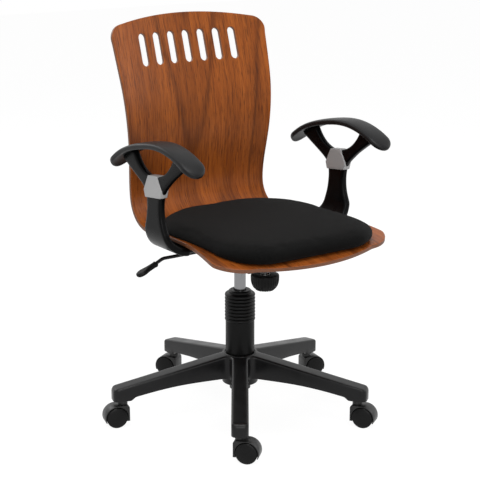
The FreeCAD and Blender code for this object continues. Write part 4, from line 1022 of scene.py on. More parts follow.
@dataclass
class Shell:
    """Bent plywood seat and back in one piece, with slots and a bowed front."""

    thick: float = 9.0
    half_width: float = 238.0
    fold_top_z: float = 509.0
    top_z: float = 938.0
    shoulder_z: float = 922.0
    side_x: float = 216.0
    corner_round: float = 34.0
    front_y: float = -320.0
    front_corner_y: float = -290.0
    front_round: float = 80.0
    slots: int = 7
    slot_pitch: float = 42.0
    slot_width: float = 20.0
    slot_low_z: float = 823.0
    slot_high_z: float = 897.0
    edge_ease: float = 1.3
    sections: tuple[tuple[float, float, float, float, float], ...] = (
        (-330.0, 446.0, 2.0, -334.0, 447.5), (-287.0, 456.5, 1.0, -290.0, 455.5),
        (-245.0, 464.0, 2.0, -247.0, 459.5), (-200.0, 470.5, 8.0, -201.0, 461.5),
        (-140.0, 475.0, 19.0, -140.0, 462.0), (-60.0, 474.0, 29.0, -60.0, 462.0),
        (20.0, 469.0, 38.0, 20.0, 462.0), (85.0, 461.0, 45.0, 92.0, 461.0),
        (127.0, 464.5, 47.5, 142.0, 465.0), (155.0, 482.0, 48.0, 176.0, 484.0),
        (169.0, 507.0, 48.0, 192.0, 509.0), (172.0, 538.0, 47.0, 197.0, 539.0),
        (167.0, 588.0, 44.0, 192.0, 588.0), (159.0, 645.0, 39.5, 185.0, 645.0),
        (157.0, 700.0, 35.0, 184.0, 700.0), (164.0, 765.0, 30.5, 192.0, 765.0),
        (180.0, 825.0, 27.0, 208.0, 826.0), (206.0, 909.0, 23.0, 234.0, 910.0),
        (221.0, 955.0, 21.0, 249.0, 956.0),
    )

    def __post_init__(self) -> None:
        """Fit the line that carries the sections, the back's stretched to its height."""
        last_z = 938.0
        stretch = (self.top_z - self.fold_top_z) / (last_z - self.fold_top_z)
        rows = []
        for edge_y, edge_z, inset, middle_y, middle_z in self.sections:
            if middle_z > self.fold_top_z:
                edge_z = self.fold_top_z + (edge_z - self.fold_top_z) * stretch
                middle_z = self.fold_top_z + (middle_z - self.fold_top_z) * stretch
            rows.append((edge_y, edge_z, self.half_width - inset, middle_y, middle_z))
        middle = np.array(rows)[:, 3:]
        run = np.concatenate([[0.0], np.cumsum(np.linalg.norm(np.diff(middle, axis=0), axis=1))])
        self.line = SmoothLine(rows, run)
        self.length = float(run[-1])
        self.bend_run = float(run[8])

    def spot(self, across: Array, along: Array, depth: Array) -> Array:
        """Place in millimetres of a point of the shell, at a depth below its sitting face."""
        row = self.line.at(along)
        slope = self.line.at(along, slope=True)
        way = slope[:, 3:] / np.linalg.norm(slope[:, 3:], axis=1)[:, None]
        rise = (across / row[:, 2]) ** 2
        y = row[:, 3] + (row[:, 0] - row[:, 3]) * rise + way[:, 1] * depth
        z = row[:, 4] + (row[:, 1] - row[:, 4]) * rise - way[:, 0] * depth
        return np.stack([across, y, z], axis=1)

    def seat_z(self, x: Array, y: Array) -> Array:
        """Height of the sitting face over spots of the seat."""
        along = solve(lambda run: self.spot(x, run, np.zeros_like(x))[:, 1], y, 0.0, self.bend_run)
        return self.spot(x, along, np.zeros_like(x))[:, 2]

    def _run_at(self, across: Array, value: Array, column: int) -> Array:
        """Run along the shell where y (1) or z (2) has a value."""
        low, high = (0.0, self.bend_run) if column == 1 else (self.bend_run, self.length)
        return solve(lambda run: self.spot(across, run, np.zeros_like(across))[:, column], value, low, high)

    def outline(self) -> Array:
        """Flat outline, front at the bottom, against the clock."""
        side = self.half_width + 1.0
        bow_x = side - self.front_round
        front = self._arched(bow_x, self.front_corner_y, self.front_y)
        corner_y = self.front_corner_y + self.front_round
        corner = circle(self.front_round, 160, (side - self.front_round, corner_y))
        corner = corner[(corner[:, 0] >= bow_x - 0.01) & (corner[:, 1] <= corner_y)]
        corner = corner[np.argsort(corner[:, 0])]
        right = np.vstack([front[front[:, 0] > 0], corner])
        run = self._run_at(right[:, 0], right[:, 1], 1)
        right = np.stack([right[:, 0], run], axis=1)
        half = self.line.at(right[:, 1])[:, 2]
        right = right[right[:, 0] < half]
        start = right[-1, 1]
        top_arc = self._arched(self.side_x - self.corner_round, self.shoulder_z, self.top_z)
        top_corner = circle(self.corner_round, 80,
                            (self.side_x - self.corner_round, self.shoulder_z - self.corner_round))
        top_corner = top_corner[(top_corner[:, 0] > self.side_x - self.corner_round)
                                & (top_corner[:, 1] > self.shoulder_z - self.corner_round)]
        top = np.vstack([top_corner[np.argsort(-top_corner[:, 0])], top_arc[top_arc[:, 0] > 0][::-1]])
        top = np.stack([top[:, 0], self._run_at(top[:, 0], top[:, 1], 2)], axis=1)
        steps = np.arange(start + 2.0, top[0, 1] - 1.0, 3.0)
        half = self.line.at(steps)[:, 2]
        limit = np.where(steps > self.bend_run + 330.0, self.side_x, self.half_width)
        sides = np.stack([np.minimum(half, limit), steps], axis=1)
        right_side = np.vstack([right, sides, top])
        left_side = right_side[::-1] * np.array([-1.0, 1.0])
        loop = even(np.vstack([right_side, left_side]), 2.4)
        return softened(loop, 10)

    @staticmethod
    def _arched(half: float, end: float, middle: float) -> Array:
        """Arc from (-half, end) over (0, middle) to (half, end)."""
        rise = middle - end
        radius = (half ** 2 + rise ** 2) / (2 * abs(rise))
        x = np.linspace(-half, half, 121)
        bulge = np.sqrt(radius ** 2 - x ** 2) - (radius - abs(rise))
        return np.stack([x, end + math.copysign(1.0, rise) * bulge], axis=1)

    def slot_loops(self) -> list[Array]:
        """Slots of the back, with the clock."""
        radius = self.slot_width / 2
        loops = []
        for index in range(self.slots):
            x = self.slot_pitch * (index - (self.slots - 1) / 2)
            corners = [
                (x - radius, self.slot_low_z, radius * 0.999), (x - radius, self.slot_high_z, radius * 0.999),
                (x + radius, self.slot_high_z, radius * 0.999), (x + radius, self.slot_low_z, radius * 0.999),
            ]
            loop = even(rounded(corners, 10), 2.0)
            run = self._run_at(loop[:, 0], loop[:, 1], 2)
            loops.append(np.stack([loop[:, 0], run], axis=1))
        return loops

    def build(self, shop: Workshop) -> None:
        """Make the shell and hand it over."""
        ease, thick = self.edge_ease, self.thick
        levels = [Level(ease * inset, drop * ease / thick)
                  for drop, inset in QUARTER_ROUND]
        levels += [Level(0.0, 0.5)] + [Level(level.inset, 1 - level.share) for level in reversed(levels)]

        def place(u: Array, v: Array, level: Level) -> Array:
            """Bend flat points into the shell."""
            return self.spot(u / MM, v / MM, np.full_like(u, level.share * thick)) * MM

        scaled = [Level(level.inset * MM, level.share) for level in levels]
        loops = [loop * MM for loop in [self.outline()] + self.slot_loops()]
        thing = plate("plywood_bent_shell", loops, scaled, 6.5 * MM, place, 50.0)
        mesh = thing.data
        mesh.materials.append(shop.materials["plywood"])
        mesh.materials.append(shop.edge)
        start, ring = mesh["rim_start"], mesh["rim_ring"]
        index = np.zeros(len(mesh.polygons), dtype=np.int32)
        index[start + ring * 2:start + ring * 6] = 1
        mesh.polygons.foreach_set("material_index", index)
        shop.hand_over(thing, "seat", "plywood", "plywood_shell")


# Cushion


@dataclass
class Cushion:
    """Crowned cloth pad on the seat."""

    shell: Shell
    half_width: float = 206.0
    front_y: float = -304.0
    rear_y: float = 128.0
    front_round: float = 105.0
    rear_round: float = 150.0
    base_z: float = 462.0
    height: float = 40.0
    swell: float = 5.0
    voxel: float = 5.0
    form_gap: float = 0.8
    rough_gap: float = 0.6
    skin_gap: float = 0.4
    frames: int = 20
    profile: tuple[tuple[float, float], ...] = (
        (112.0, 1.03), (80.0, 1.0), (50.0, 0.945), (25.0, 0.85), (12.0, 0.755), (5.0, 0.66), (1.2, 0.56),
        (0.0, 0.45), (0.6, 0.35), (1.8, 0.25), (4.0, 0.12), (7.0, 0.0),
    )

    def outline(self) -> Array:
        """Widest outline of the pad."""
        corners = [(side * self.half_width, y, radius)
                   for y, radius, sides in ((self.front_y, self.front_round, (-1, 1)),
                                            (self.rear_y, self.rear_round, (1, -1)))
                   for side in sides]
        return even(rounded(corners, 24), 5.0)

    def form(self) -> bpy.types.Object:
        """Closed starting shape, a little smaller than the filled pad."""
        shrink = self.swell

        def place(u: Array, v: Array, level: Level) -> Array:
            """Put a ring at its height, no lower than the seat."""
            x, y = u / MM, v / MM
            floor = self.shell.seat_z(x, y) + self.form_gap
            top = self.base_z + self.height * level.share - shrink * level.share
            z = np.maximum(top, floor)
            if level.drop:
                z = floor
            return np.stack([x, y, z], axis=1) * MM

        levels = [Level((inset + shrink * 0.8) * MM, share) for inset, share in self.profile]
        levels.append(Level((18.0 + shrink) * MM, 0.0, 1.0))
        return plate("seat_pad_form", [self.outline() * MM], levels, 9.0 * MM, place)

    def filled_form(self) -> bpy.types.Object:
        """The form after its filling pushes the cloth out."""
        thing = self.form()
        remesh = thing.modifiers.new("Even mesh", "REMESH")
        remesh.mode = "VOXEL"
        remesh.voxel_size = self.voxel * MM
        settle(thing)
        self._inflate(thing)
        return thing

    def _inflate(self, thing: bpy.types.Object) -> None:
        """Let pressure swell the cloth, by a few millimetres at most."""
        before = self._spots(thing)
        ways = np.array([tuple(vertex.normal) for vertex in thing.data.vertices])
        cloth = thing.modifiers.new("Filling", "CLOTH")
        cloth.settings.quality = 5
        cloth.settings.use_pressure = True
        cloth.settings.uniform_pressure_force = 2.5
        cloth.settings.effector_weights.gravity = 0.0
        cloth.point_cache.frame_start = 1
        cloth.point_cache.frame_end = self.frames
        scene = bpy.context.scene
        for frame in range(1, self.frames + 1):
            scene.frame_set(frame)
        settle(thing)
        scene.frame_set(1)
        swell = ((self._spots(thing) - before) * ways).sum(axis=1)
        swell = np.clip(swell, self.swell * 0.6 * MM, self.swell * 1.2 * MM)
        self._put(thing, before + ways * swell[:, None])

    @staticmethod
    def _spots(thing: bpy.types.Object) -> Array:
        """Points of a mesh."""
        spots = np.zeros(len(thing.data.vertices) * 3)
        thing.data.vertices.foreach_get("co", spots)
        return spots.reshape(-1, 3)

    @staticmethod
    def _put(thing: bpy.types.Object, spots: Array) -> None:
        """Set the points of a mesh."""
        thing.data.vertices.foreach_set("co", spots.ravel())
        thing.data.update()

    def _rest(self, thing: bpy.types.Object, gap: float) -> None:
        """Lift every point to a gap over the seat at least."""
        spots = self._spots(thing) / MM
        floor = self.shell.seat_z(spots[:, 0], spots[:, 1]) + gap
        spots[:, 2] = np.maximum(spots[:, 2], floor)
        self._put(thing, spots * MM)

    def build(self, shop: Workshop) -> None:
        """Make the pad and hand it over."""
        thing = self.filled_form()
        smooth = thing.modifiers.new("Even skin", "SMOOTH")
        smooth.factor = 0.5
        smooth.iterations = 12
        settle(thing)
        self._rest(thing, self.rough_gap)
        division = thing.modifiers.new("Fine skin", "SUBSURF")
        division.levels = 1
        division.render_levels = 1
        settle(thing)
        self._rest(thing, self.skin_gap)
        thing.data.shade_smooth()
        thing.name = "seat_pad"
        shop.hand_over(thing, "seat", "black_fabric", "seat_cushion")


# Armrests


@dataclass
class Armrest:
    """T armrest: bent plate with a forked post, bright collar and curved pad."""

    shell: Shell
    outer_x: float = 263.0
    thick: float = 16.0
    elbow: float = 60.0
    low_z: float = 445.0
    end_x: float = 135.0
    edge_round: float = 6.0
    pad_half: float = 27.0
    pad_thick: float = 14.0
    pad_front_y: float = -221.0
    pad_rear_y: float = 131.0
    collar_y: float = -45.0
    collar_lean: float = 6.2
    collar_wall: float = 1.6
    collar_corners: tuple[tuple[float, float, float], ...] = (
        (18.5, 624.0, 2.0), (37.0, 591.8, 2.0), (31.5, 574.5, 1.5),
    )
    rear_leg: Pairs = ((135.0, -10.0), (199.0, -5.0), (243.0, 12.0), (263.0, 12.0))
    front_leg: Pairs = ((135.0, -80.0), (199.0, -85.0), (243.0, -102.0), (263.0, -102.0))
    pad_rings: Pairs = (
        (23.0, 0.0), (17.0, 0.012), (11.0, 0.045), (7.0, 0.085), (4.4, 0.13), (2.5, 0.19), (1.2, 0.27),
        (0.35, 0.37), (0.0, 0.48), (0.0, 0.80), (0.6, 0.90), (1.9, 0.97), (3.6, 1.0),
    )
    pad_line: Pairs = (
        (-221.0, 656.0), (-198.0, 672.0), (-165.0, 687.0), (-123.0, 698.0), (-78.0, 701.0), (-21.0, 694.0),
        (37.0, 680.0), (72.0, 666.0), (101.0, 649.0), (121.0, 633.0), (135.0, 616.0),
    )
    rear_line: Pairs = (
        (12.0, 437.0), (9.0, 470.0), (-3.0, 500.0), (-11.0, 522.0), (-15.0, 545.0), (-15.5, 568.0),
        (-9.5, 586.0), (10.0, 601.5), (35.0, 615.0), (60.0, 628.0), (92.0, 646.0),
    )
    front_line: Pairs = (
        (-190.0, 668.0), (-170.0, 658.0), (-144.0, 641.5), (-120.0, 625.0), (-97.0, 606.0), (-80.5, 589.0),
        (-73.0, 570.0), (-71.5, 550.0), (-74.0, 528.0), (-85.0, 500.0), (-98.0, 470.0), (-101.0, 437.0),
    )
    hole_line: Pairs = (
        (40.0, 676.0), (26.0, 655.0), (9.0, 638.0), (-12.0, 626.5), (-40.0, 621.0), (-68.0, 625.0),
        (-92.0, 636.0), (-110.0, 651.0), (-124.0, 669.0), (-133.0, 688.0),
    )

    def __post_init__(self) -> None:
        """Fit the pad's line."""
        self.pad = SmoothLine(self.pad_line)
        marks = np.linspace(self.pad.knots[0], self.pad.knots[-1], 400)
        spots = self.pad.at(marks)
        slopes = self.pad.at(marks, slope=True)
        slopes /= np.linalg.norm(slopes, axis=1)[:, None]
        self.pad_spots = spots
        self.pad_down = np.stack([slopes[:, 1], -slopes[:, 0]], axis=1)

    def under_pad(self, y: float) -> float:
        """Height of the pad's underside over a place along the chair."""
        lower = self.pad_spots + self.pad_down * self.pad_thick
        return float(np.interp(y, lower[:, 0], lower[:, 1]))

    def frame_outline(self) -> Array:
        """Developed outline of the bent plate, with its leg unrolled below the post."""
        bend_z = self.low_z + self.elbow

        def line(points: Pairs) -> Array:
            """Dense smooth line."""
            fit = SmoothLine(points)
            return fit.at(np.linspace(0, fit.knots[-1], 160))

        def leg_side(rows: Sequence[tuple[float, float]], post: Array) -> list[tuple[float, float]]:
            """Side of the elbow and leg, from the elbow down to the leg's end."""
            order = np.argsort(post[:, 1])
            side = []
            for step in range(1, 13):
                angle = math.pi / 2 * step / 12
                z = bend_z - self.elbow * math.sin(angle)
                x = self.outer_x - self.elbow * math.cos(angle)
                y = float(np.interp(z, post[order, 1], post[order, 0]))
                y = self._narrower(y, x, rows)
                side.append((y, bend_z - self.elbow * angle))
            low = bend_z - self.elbow * math.pi / 2
            start_x = self.outer_x - self.elbow
            for step in range(1, 10):
                x = start_x + (self.end_x - start_x) * step / 9
                y = float(np.interp(x, [row[0] for row in rows], [row[1] for row in rows]))
                side.append((y, low - (start_x - x)))
            return side

        rear = line(self.rear_line)
        front = line(self.front_line)
        rear_leg = leg_side(self.rear_leg, rear)
        front_leg = leg_side(self.front_leg, front)
        rear_post = [tuple(p) for p in rear if bend_z < p[1] and p[1] < self.under_pad(p[0]) + 2.0]
        front_post = [tuple(p) for p in front if bend_z < p[1] and p[1] < self.under_pad(p[0]) + 2.0]
        hole = line(self.hole_line)
        rear_y, front_y = rear_post[-1][0], front_post[0][0]
        hole = np.array([p for p in hole if p[1] < self.under_pad(p[0]) + 2.0])
        roof_rear = [(y, self.under_pad(y) + 3.0) for y in np.arange(rear_y - 3.0, hole[0, 0] + 2.0, -4.0)]
        roof_front = [(y, self.under_pad(y) + 3.0) for y in np.arange(hole[-1, 0] - 3.0, front_y + 2.0, -4.0)]
        points = list(reversed(rear_leg)) + rear_post + roof_rear + [tuple(p) for p in hole] + roof_front
        points += front_post + front_leg
        loop = even(np.array(points), 3.0)
        if signed_area(loop) < 0:
            loop = loop[::-1]
        return softened(loop, 3)

    @staticmethod
    def _narrower(y: float, x: float, rows: Sequence[tuple[float, float]]) -> float:
        """The side nearer the middle of the leg."""
        other = float(np.interp(x, [row[0] for row in rows], [row[1] for row in rows]))
        return max(y, other) if rows[0][1] < -60.0 else min(y, other)

    def place_frame(self, u: Array, v: Array, level: Level) -> Array:
        """Bend developed points: upright post, elbow and leg, on the sitter's right."""
        y, run = u / MM, v / MM
        depth = level.share * self.thick
        bend_z = self.low_z + self.elbow
        quarter = self.elbow * math.pi / 2
        down = np.clip(bend_z - run, 0.0, None)
        angle = np.clip(down / self.elbow, 0.0, math.pi / 2)
        beyond = np.clip(down - quarter, 0.0, None)
        reach = self.elbow - depth
        centre_x = -(self.outer_x - self.elbow)
        x = centre_x - reach * np.cos(angle) + beyond
        z = np.where(down > 0, bend_z - reach * np.sin(angle), run)
        flat = np.clip(-x, 100.0, self.half_seat)
        roof = self.shell.seat_z(flat, y) - self.shell.thick - 0.6
        z = np.where((angle > 0.9) & (-x < self.half_seat), np.minimum(z, roof), z)
        return np.stack([x, y, z], axis=1) * MM

    @property
    def half_seat(self) -> float:
        """Half width of the seat over the leg."""
        return self.shell.half_width - 22.0

    def make_frame(self) -> bpy.types.Object:
        """Bent plate with rounded edges."""
        r, t = self.edge_round, self.thick
        levels = [Level(r * (1 - math.sin(a)) * MM, r * (1 - math.cos(a)) / t)
                  for a in np.linspace(0, math.pi / 2, 6)]
        levels += [Level(level.inset, 1 - level.share) for level in reversed(levels)]
        return plate("arm_frame", [self.frame_outline() * MM], levels, 6.0 * MM, self.place_frame, 60.0)

    def place_pad(self, u: Array, v: Array, level: Level) -> Array:
        """Put plan points on the pad's curved line."""
        y = v / MM
        spot_z = np.interp(y, self.pad_spots[:, 0], self.pad_spots[:, 1])
        down_y = np.interp(y, self.pad_spots[:, 0], self.pad_down[:, 0])
        down_z = np.interp(y, self.pad_spots[:, 0], self.pad_down[:, 1])
        depth = level.share * self.pad_thick
        centre = -self.outer_x + self.thick / 2
        return np.stack([centre + u / MM, y + down_y * depth, spot_z + down_z * depth], axis=1) * MM

    def make_pad(self) -> bpy.types.Object:
        """Crowned pad with round ends."""
        half = self.pad_half
        corners = [
            (-half, self.pad_front_y, half * 0.999), (half, self.pad_front_y, half * 0.999),
            (half, self.pad_rear_y, half * 0.999), (-half, self.pad_rear_y, half * 0.999),
        ]
        outline = even(rounded(corners, 20), 2.5)
        levels = [Level(inset * MM, share) for inset, share in self.pad_rings]
        return plate("arm_pad", [outline * MM], levels, 5.0 * MM, self.place_pad, 60.0)

    def make_collar(self) -> bpy.types.Object:
        """Bright shield and band round the post."""
        middle = self.collar_y
        rise = math.tan(math.radians(self.collar_lean))
        corners = [(middle - half, z + rise * half, r) for half, z, r in self.collar_corners]
        corners += [(middle + half, z - rise * half, r) for half, z, r in reversed(self.collar_corners)]
        outline = even(rounded(corners, 5), 2.0)
        if signed_area(outline) < 0:
            outline = outline[::-1]
        reach = self.thick / 2 + self.collar_wall
        centre = -self.outer_x + self.thick / 2

        def place(u: Array, v: Array, level: Level) -> Array:
            """Stand the outline up across the post."""
            x = np.full_like(u, centre - reach + 2 * reach * level.share)
            return np.stack([x, u / MM, v / MM], axis=1) * MM

        e = 1.0 / (2 * reach)
        levels = [Level(1.1 * MM, 0.0), Level(0.4 * MM, 0.35 * e), Level(0.0, 1.1 * e)]
        levels += [Level(level.inset, 1 - level.share) for level in reversed(levels)]
        return plate("arm_collar", [outline * MM], levels, 6.0 * MM, place, 50.0)

    def build(self, shop: Workshop) -> None:
        """Make both armrests and hand them over."""
        pieces = (
            (self.make_frame(), "frame", "arm_plastic"), (self.make_collar(), "collar", "arm_trim"),
            (self.make_pad(), "pad", "pad_plastic"),
        )
        for thing, part, slot in pieces:
            thing.name = "armrest_right_" + part
            other = twin(thing, "armrest_left_" + part)
            shop.hand_over(thing, "seat", slot, "arm_right_" + part)
            shop.hand_over(other, "seat", slot, "arm_left_" + part)


# Base and casters


@dataclass
class StarBase:
    """Five hollow arms round a hub with a bead."""

    arms: int = 5
    first_angle: float = 235.0
    tip: float = 315.0
    half: float = 19.5
    tip_round: float = 12.0
    corner_round: float = 15.0
    edge_round: float = 5.5
    face_z: float = 64.7
    axis_rise: float = 92.8
    slope_rise: float = 63.5
    hub_radius: float = 43.0
    hub_low: float = 77.0
    hub_top: float = 150.0
    wall: float = 3.6
    bore: float = 27.0
    low_line: Pairs = ((0.0, 28.3), (80.0, 26.8), (157.5, 23.3), (230.0, 14.0), (273.0, 6.3))
    rib_radii: tuple[float, ...] = (120.0, 189.0)

    def top(self, radius: Array) -> Array:
        """Height of the arms' upper face."""
        rise = self.face_z + self.axis_rise - self.slope_rise / self.tip * radius
        nose = np.clip(radius - (self.tip - 9.0), 0.0, 9.0)
        rise = rise - (9.0 - np.sqrt(81.0 - nose ** 2)) * 0.6
        return np.minimum(rise, self.hub_top)

    def low(self, radius: Array) -> Array:
        """Height of the arms' lower edge."""
        knots = np.array(self.low_line)[:, 0]
        line = SmoothLine(self.low_line, knots)
        rise = line.at(np.minimum(radius, knots[-1]))[:, 1]
        ease = np.clip((radius - 262.0) / 14.0, 0.0, 1.0)
        ease = ease * ease * (3 - 2 * ease)
        return self.face_z + rise * (1 - ease)

    def outline(self) -> Array:
        """Plan outline of the star."""
        corners = []
        step = 2 * math.pi / self.arms
        inner = self.half / math.sin(step / 2)
        for index in range(self.arms):
            angle = math.radians(self.first_angle) + step * index
            cos, sin = math.cos(angle), math.sin(angle)
            for side in (-1, 1):
                x, y = self.tip * cos - side * self.half * sin, self.tip * sin + side * self.half * cos
                corners.append((x, y, self.tip_round))
            between = angle + step / 2
            corners.append((inner * math.cos(between), inner * math.sin(between), self.corner_round))
        return even(rounded(corners, 10), 3.0)

    def place(self, u: Array, v: Array, level: Level) -> Array:
        """Put plan points on the star's faces."""
        x, y = u / MM, v / MM
        radius = np.hypot(x, y)
        top, low = self.top(radius), self.low(radius)
        z = top + (low - top) * level.share - level.drop
        return np.stack([x, y, z], axis=1) * MM

    def build(self, shop: Workshop) -> None:
        """Make the star and hand it over."""
        r = self.edge_round
        levels = [Level(r * (1 - math.sin(a)) * MM, 0.0, r * (1 - math.cos(a)))
                  for a in np.linspace(0, math.pi / 2, 6)]
        levels += [
            Level(0.0, 0.5, r / 2), Level(0.0, 0.97), Level(0.5 * MM, 1.0), Level(self.wall * MM, 1.0),
            Level((self.wall + 0.2) * MM, 0.5), Level((self.wall + 0.5) * MM, 0.0, self.wall),
        ]
        outline = self.outline()
        if signed_area(outline) < 0:
            outline = outline[::-1]
        bore = circle(self.bore, 60)[::-1]
        star = plate("base_star", [outline * MM, bore * MM], levels, 5.0 * MM, self.place, 50.0)
        hub_profile = rounded([
            (25.2, self.hub_low, 0.5), (self.hub_radius, self.hub_low, 2.0),
            (self.hub_radius, self.hub_top - 3.4, 1.5), (41.4, self.hub_top - 3.4, 0.0),
            (41.0, self.hub_top - 0.6, 0.0), (39.6, self.hub_top + 1.2, 0.0), (38.0, self.hub_top + 1.7, 0.0),
            (36.4, self.hub_top + 1.2, 0.0), (35.6, self.hub_top - 0.6, 0.0), (25.2, self.hub_top - 0.8, 0.0),
        ], 5)
        hub = spin("base_hub", hub_profile * MM, 120, sharp=50.0)
        bosses = [self._boss(index) for index in range(self.arms)]
        whole = merged("base_star_body", [star, hub] + bosses)
        shop.hand_over(whole, "base", "base_plastic", "star_base")
        material = shop.materials["base_plastic"]
        for number, radius in enumerate(self.rib_radii, 1):
            rib = self._rib(radius)
            ribs = ring_of_copies("base_cross_ribs_%d" % number, rib, self.arms,
                                  math.radians(self.first_angle), (0.0, 0.0, 0.0), material)
            shop.hand_over(ribs, "base", "base_plastic")

    def _boss(self, index: int) -> bpy.types.Object:
        """Boss inside an arm's tip, round the stem's socket."""
        angle = math.radians(self.first_angle + 360.0 / self.arms * index)
        circle_radius = self.tip - 25.0
        profile = rounded([
            (8.2, self.face_z, 0.0), (15.2, self.face_z, 1.0), (15.2, self.face_z + 27.0, 1.0),
            (8.2, self.face_z + 27.0, 0.0),
        ], 3)
        centre = (circle_radius * math.cos(angle) * MM, circle_radius * math.sin(angle) * MM, 0.0)
        return spin("boss", profile * MM, 40, centre=centre)

    def _rib(self, radius: float) -> bpy.types.Object:
        """Cross rib of one arm, pointing along X, with a scooped lower edge."""
        half = self.half - self.wall + 0.4
        spot = np.array([radius])
        top = float(self.top(spot)[0]) - self.wall + 0.4
        low = float(self.low(spot)[0])
        corners = [(-half, top, 0.0), (-half, low + 1.5, 0.0), (0.0, low + 8.0, 30.0), (half, low + 1.5, 0.0),
                   (half, top, 0.0)]
        outline = even(rounded(corners, 8), 3.0)
        if signed_area(outline) < 0:
            outline = outline[::-1]

        def place(u: Array, v: Array, level: Level) -> Array:
            """Stand the rib across the arm."""
            x = np.full_like(u, radius + 1.5 - 3.0 * level.share)
            return np.stack([x, u / MM, v / MM], axis=1) * MM

        levels = [Level(0.5 * MM, 0.0), Level(0.0, 0.17), Level(0.0, 0.83), Level(0.5 * MM, 1.0)]
        return plate("rib", [outline * MM], levels, 8.0 * MM, place)


@dataclass
class Casters:
    """Five hooded twin-wheel casters, each turned its own way."""

    base: StarBase
    wheel: float = 25.0
    outer_face: float = 22.5
    inner_face: float = 4.0
    hood_half: float = 17.5
    hood_wall: float = 2.2
    wheel_gap: float = 1.2
    low_z: float = 14.0
    leg_reach: float = 30.5
    trail: float = 18.0
    axle: float = 3.05
    boss_top: float = 61.5
    headings: tuple[float, ...] = (311.0, 302.0, 350.0, 120.0, 165.0)

    def hood(self) -> bpy.types.Object:
        """Hood over both wheels, made about the stem with the wheels towards -X."""
        inner = self.wheel + self.wheel_gap
        outer = inner + self.hood_wall
        drop = self.wheel - self.low_z
        start = math.asin(drop / outer)
        arc = [(-self.trail + outer * math.cos(a), self.wheel + outer * math.sin(a))
               for a in np.linspace(math.pi / 2, math.pi + start, 34)]
        leg_x = self.leg_reach - self.trail
        top = self.wheel + outer
        corner = [(leg_x, self.low_z), (leg_x, top - 7.0)]
        corner += [(leg_x - 7.0 + 7.0 * math.cos(a), top - 7.0 + 7.0 * math.sin(a))
                   for a in np.linspace(0, math.pi / 2, 8)[1:]]
        under = math.asin(drop / inner)
        bay = [(-self.trail + inner * math.cos(a), self.wheel + inner * math.sin(a))
               for a in np.linspace(math.pi + under, -under, 60)]
        outline = np.array(corner + arc + bay)
        if signed_area(outline) < 0:
            outline = outline[::-1]
        outline = even(outline, 1.6)
        width = 2 * self.hood_half

        def place(u: Array, v: Array, level: Level) -> Array:
            """Stand the side outline up across the hood."""
            y = np.full_like(u, -self.hood_half + width * level.share)
            return np.stack([u / MM, y, v / MM], axis=1) * MM

        e = 1.0 / width
        levels = [Level(0.9 * MM, 0.0), Level(0.27 * MM, 0.27 * e), Level(0.0, 0.9 * e), Level(0.0, 0.5),
                  Level(0.0, 1 - 0.9 * e), Level(0.27 * MM, 1 - 0.27 * e), Level(0.9 * MM, 1.0)]
        shell = plate("hood_shell", [outline * MM], levels, 4.0 * MM, place, 50.0)
        web = spin("hood_web", rounded([
            (self.axle, -3.0, 0.0), (inner + 0.6, -3.0, 0.0), (inner + 0.6, 3.0, 0.0), (self.axle, 3.0, 0.0),
        ], 1) * MM, 64, centre=(-self.trail * MM, 0.0, self.wheel * MM), axis=Axis.ALONG)
        neck = spin("hood_neck", rounded([
            (5.6, 52.0, 0.0), (11.0, 50.0, 0.0), (11.0, self.boss_top, 1.2), (5.6, self.boss_top, 0.0),
        ], 4) * MM, 48)
        cut = bmesh.new()
        cut.from_mesh(web.data)
        flat = bmesh.ops.bisect_plane(cut, geom=cut.verts[:] + cut.edges[:] + cut.faces[:], dist=1e-7,
                                      plane_co=(0.0, 0.0, self.low_z * MM), plane_no=(0.0, 0.0, -1.0),
                                      clear_outer=True)
        edges = [part for part in flat["geom_cut"] if isinstance(part, bmesh.types.BMEdge)]
        bmesh.ops.holes_fill(cut, edges=edges, sides=0)
        cut.to_mesh(web.data)
        cut.free()
        face_outward(web)
        return merged("hood", [shell, web, neck])

    def wheel_piece(self, side: int) -> bpy.types.Object:
        """One domed wheel."""
        flat = 4.0
        profile = [(self.axle, self.inner_face), (self.wheel - 1.0, self.inner_face),
                   (self.wheel, self.inner_face + 1.0), (self.wheel, 16.6), (self.wheel - 0.35, 17.9),
                   (self.wheel - 1.1, 18.9)]
        for radius in np.linspace(self.wheel - 2.2, 0.0, 12):
            share = radius / (self.wheel - 2.2)
            profile.append((max(radius, 0.0), self.outer_face - flat * 0.75 * share ** 2))
        profile += [(0.0, 18.6), (self.axle, 18.6)]
        points = [(radius * MM, side * height * MM) for radius, height in profile]
        return spin("wheel", points, 72, centre=(-self.trail * MM, 0.0, self.wheel * MM), axis=Axis.ALONG)

    def build(self, shop: Workshop) -> None:
        """Place the five casters and hand them over."""
        circle_radius = self.base.tip - 25.0
        makers = (
            ("hood", "caster_plastic", "", self.hood()),
            ("wheel_a", "wheel_plastic", "_wheel_a", self.wheel_piece(1)),
            ("wheel_b", "wheel_plastic", "_wheel_b", self.wheel_piece(-1)),
        )
        for index, heading in enumerate(self.headings):
            angle = math.radians(self.base.first_angle + 360.0 / self.base.arms * index)
            spot = Vector((circle_radius * math.cos(angle), circle_radius * math.sin(angle), 0.0)) * MM
            turn = Matrix.Translation(spot) @ Matrix.Rotation(math.radians(heading + 180.0), 4, "Z")
            caster = "caster_%d" % (index + 1)
            for part, slot, body, pattern in makers:
                thing = bpy.data.objects.new("%s_%s_skin" % (caster, part), pattern.data.copy())
                bpy.context.scene.collection.objects.link(thing)
                moved(thing, turn)
                shop.hand_over(thing, caster + body, slot, "%s_%s" % (caster, part))
        for _, _, _, pattern in makers:
            bpy.data.objects.remove(pattern)


# Column, knob and lever


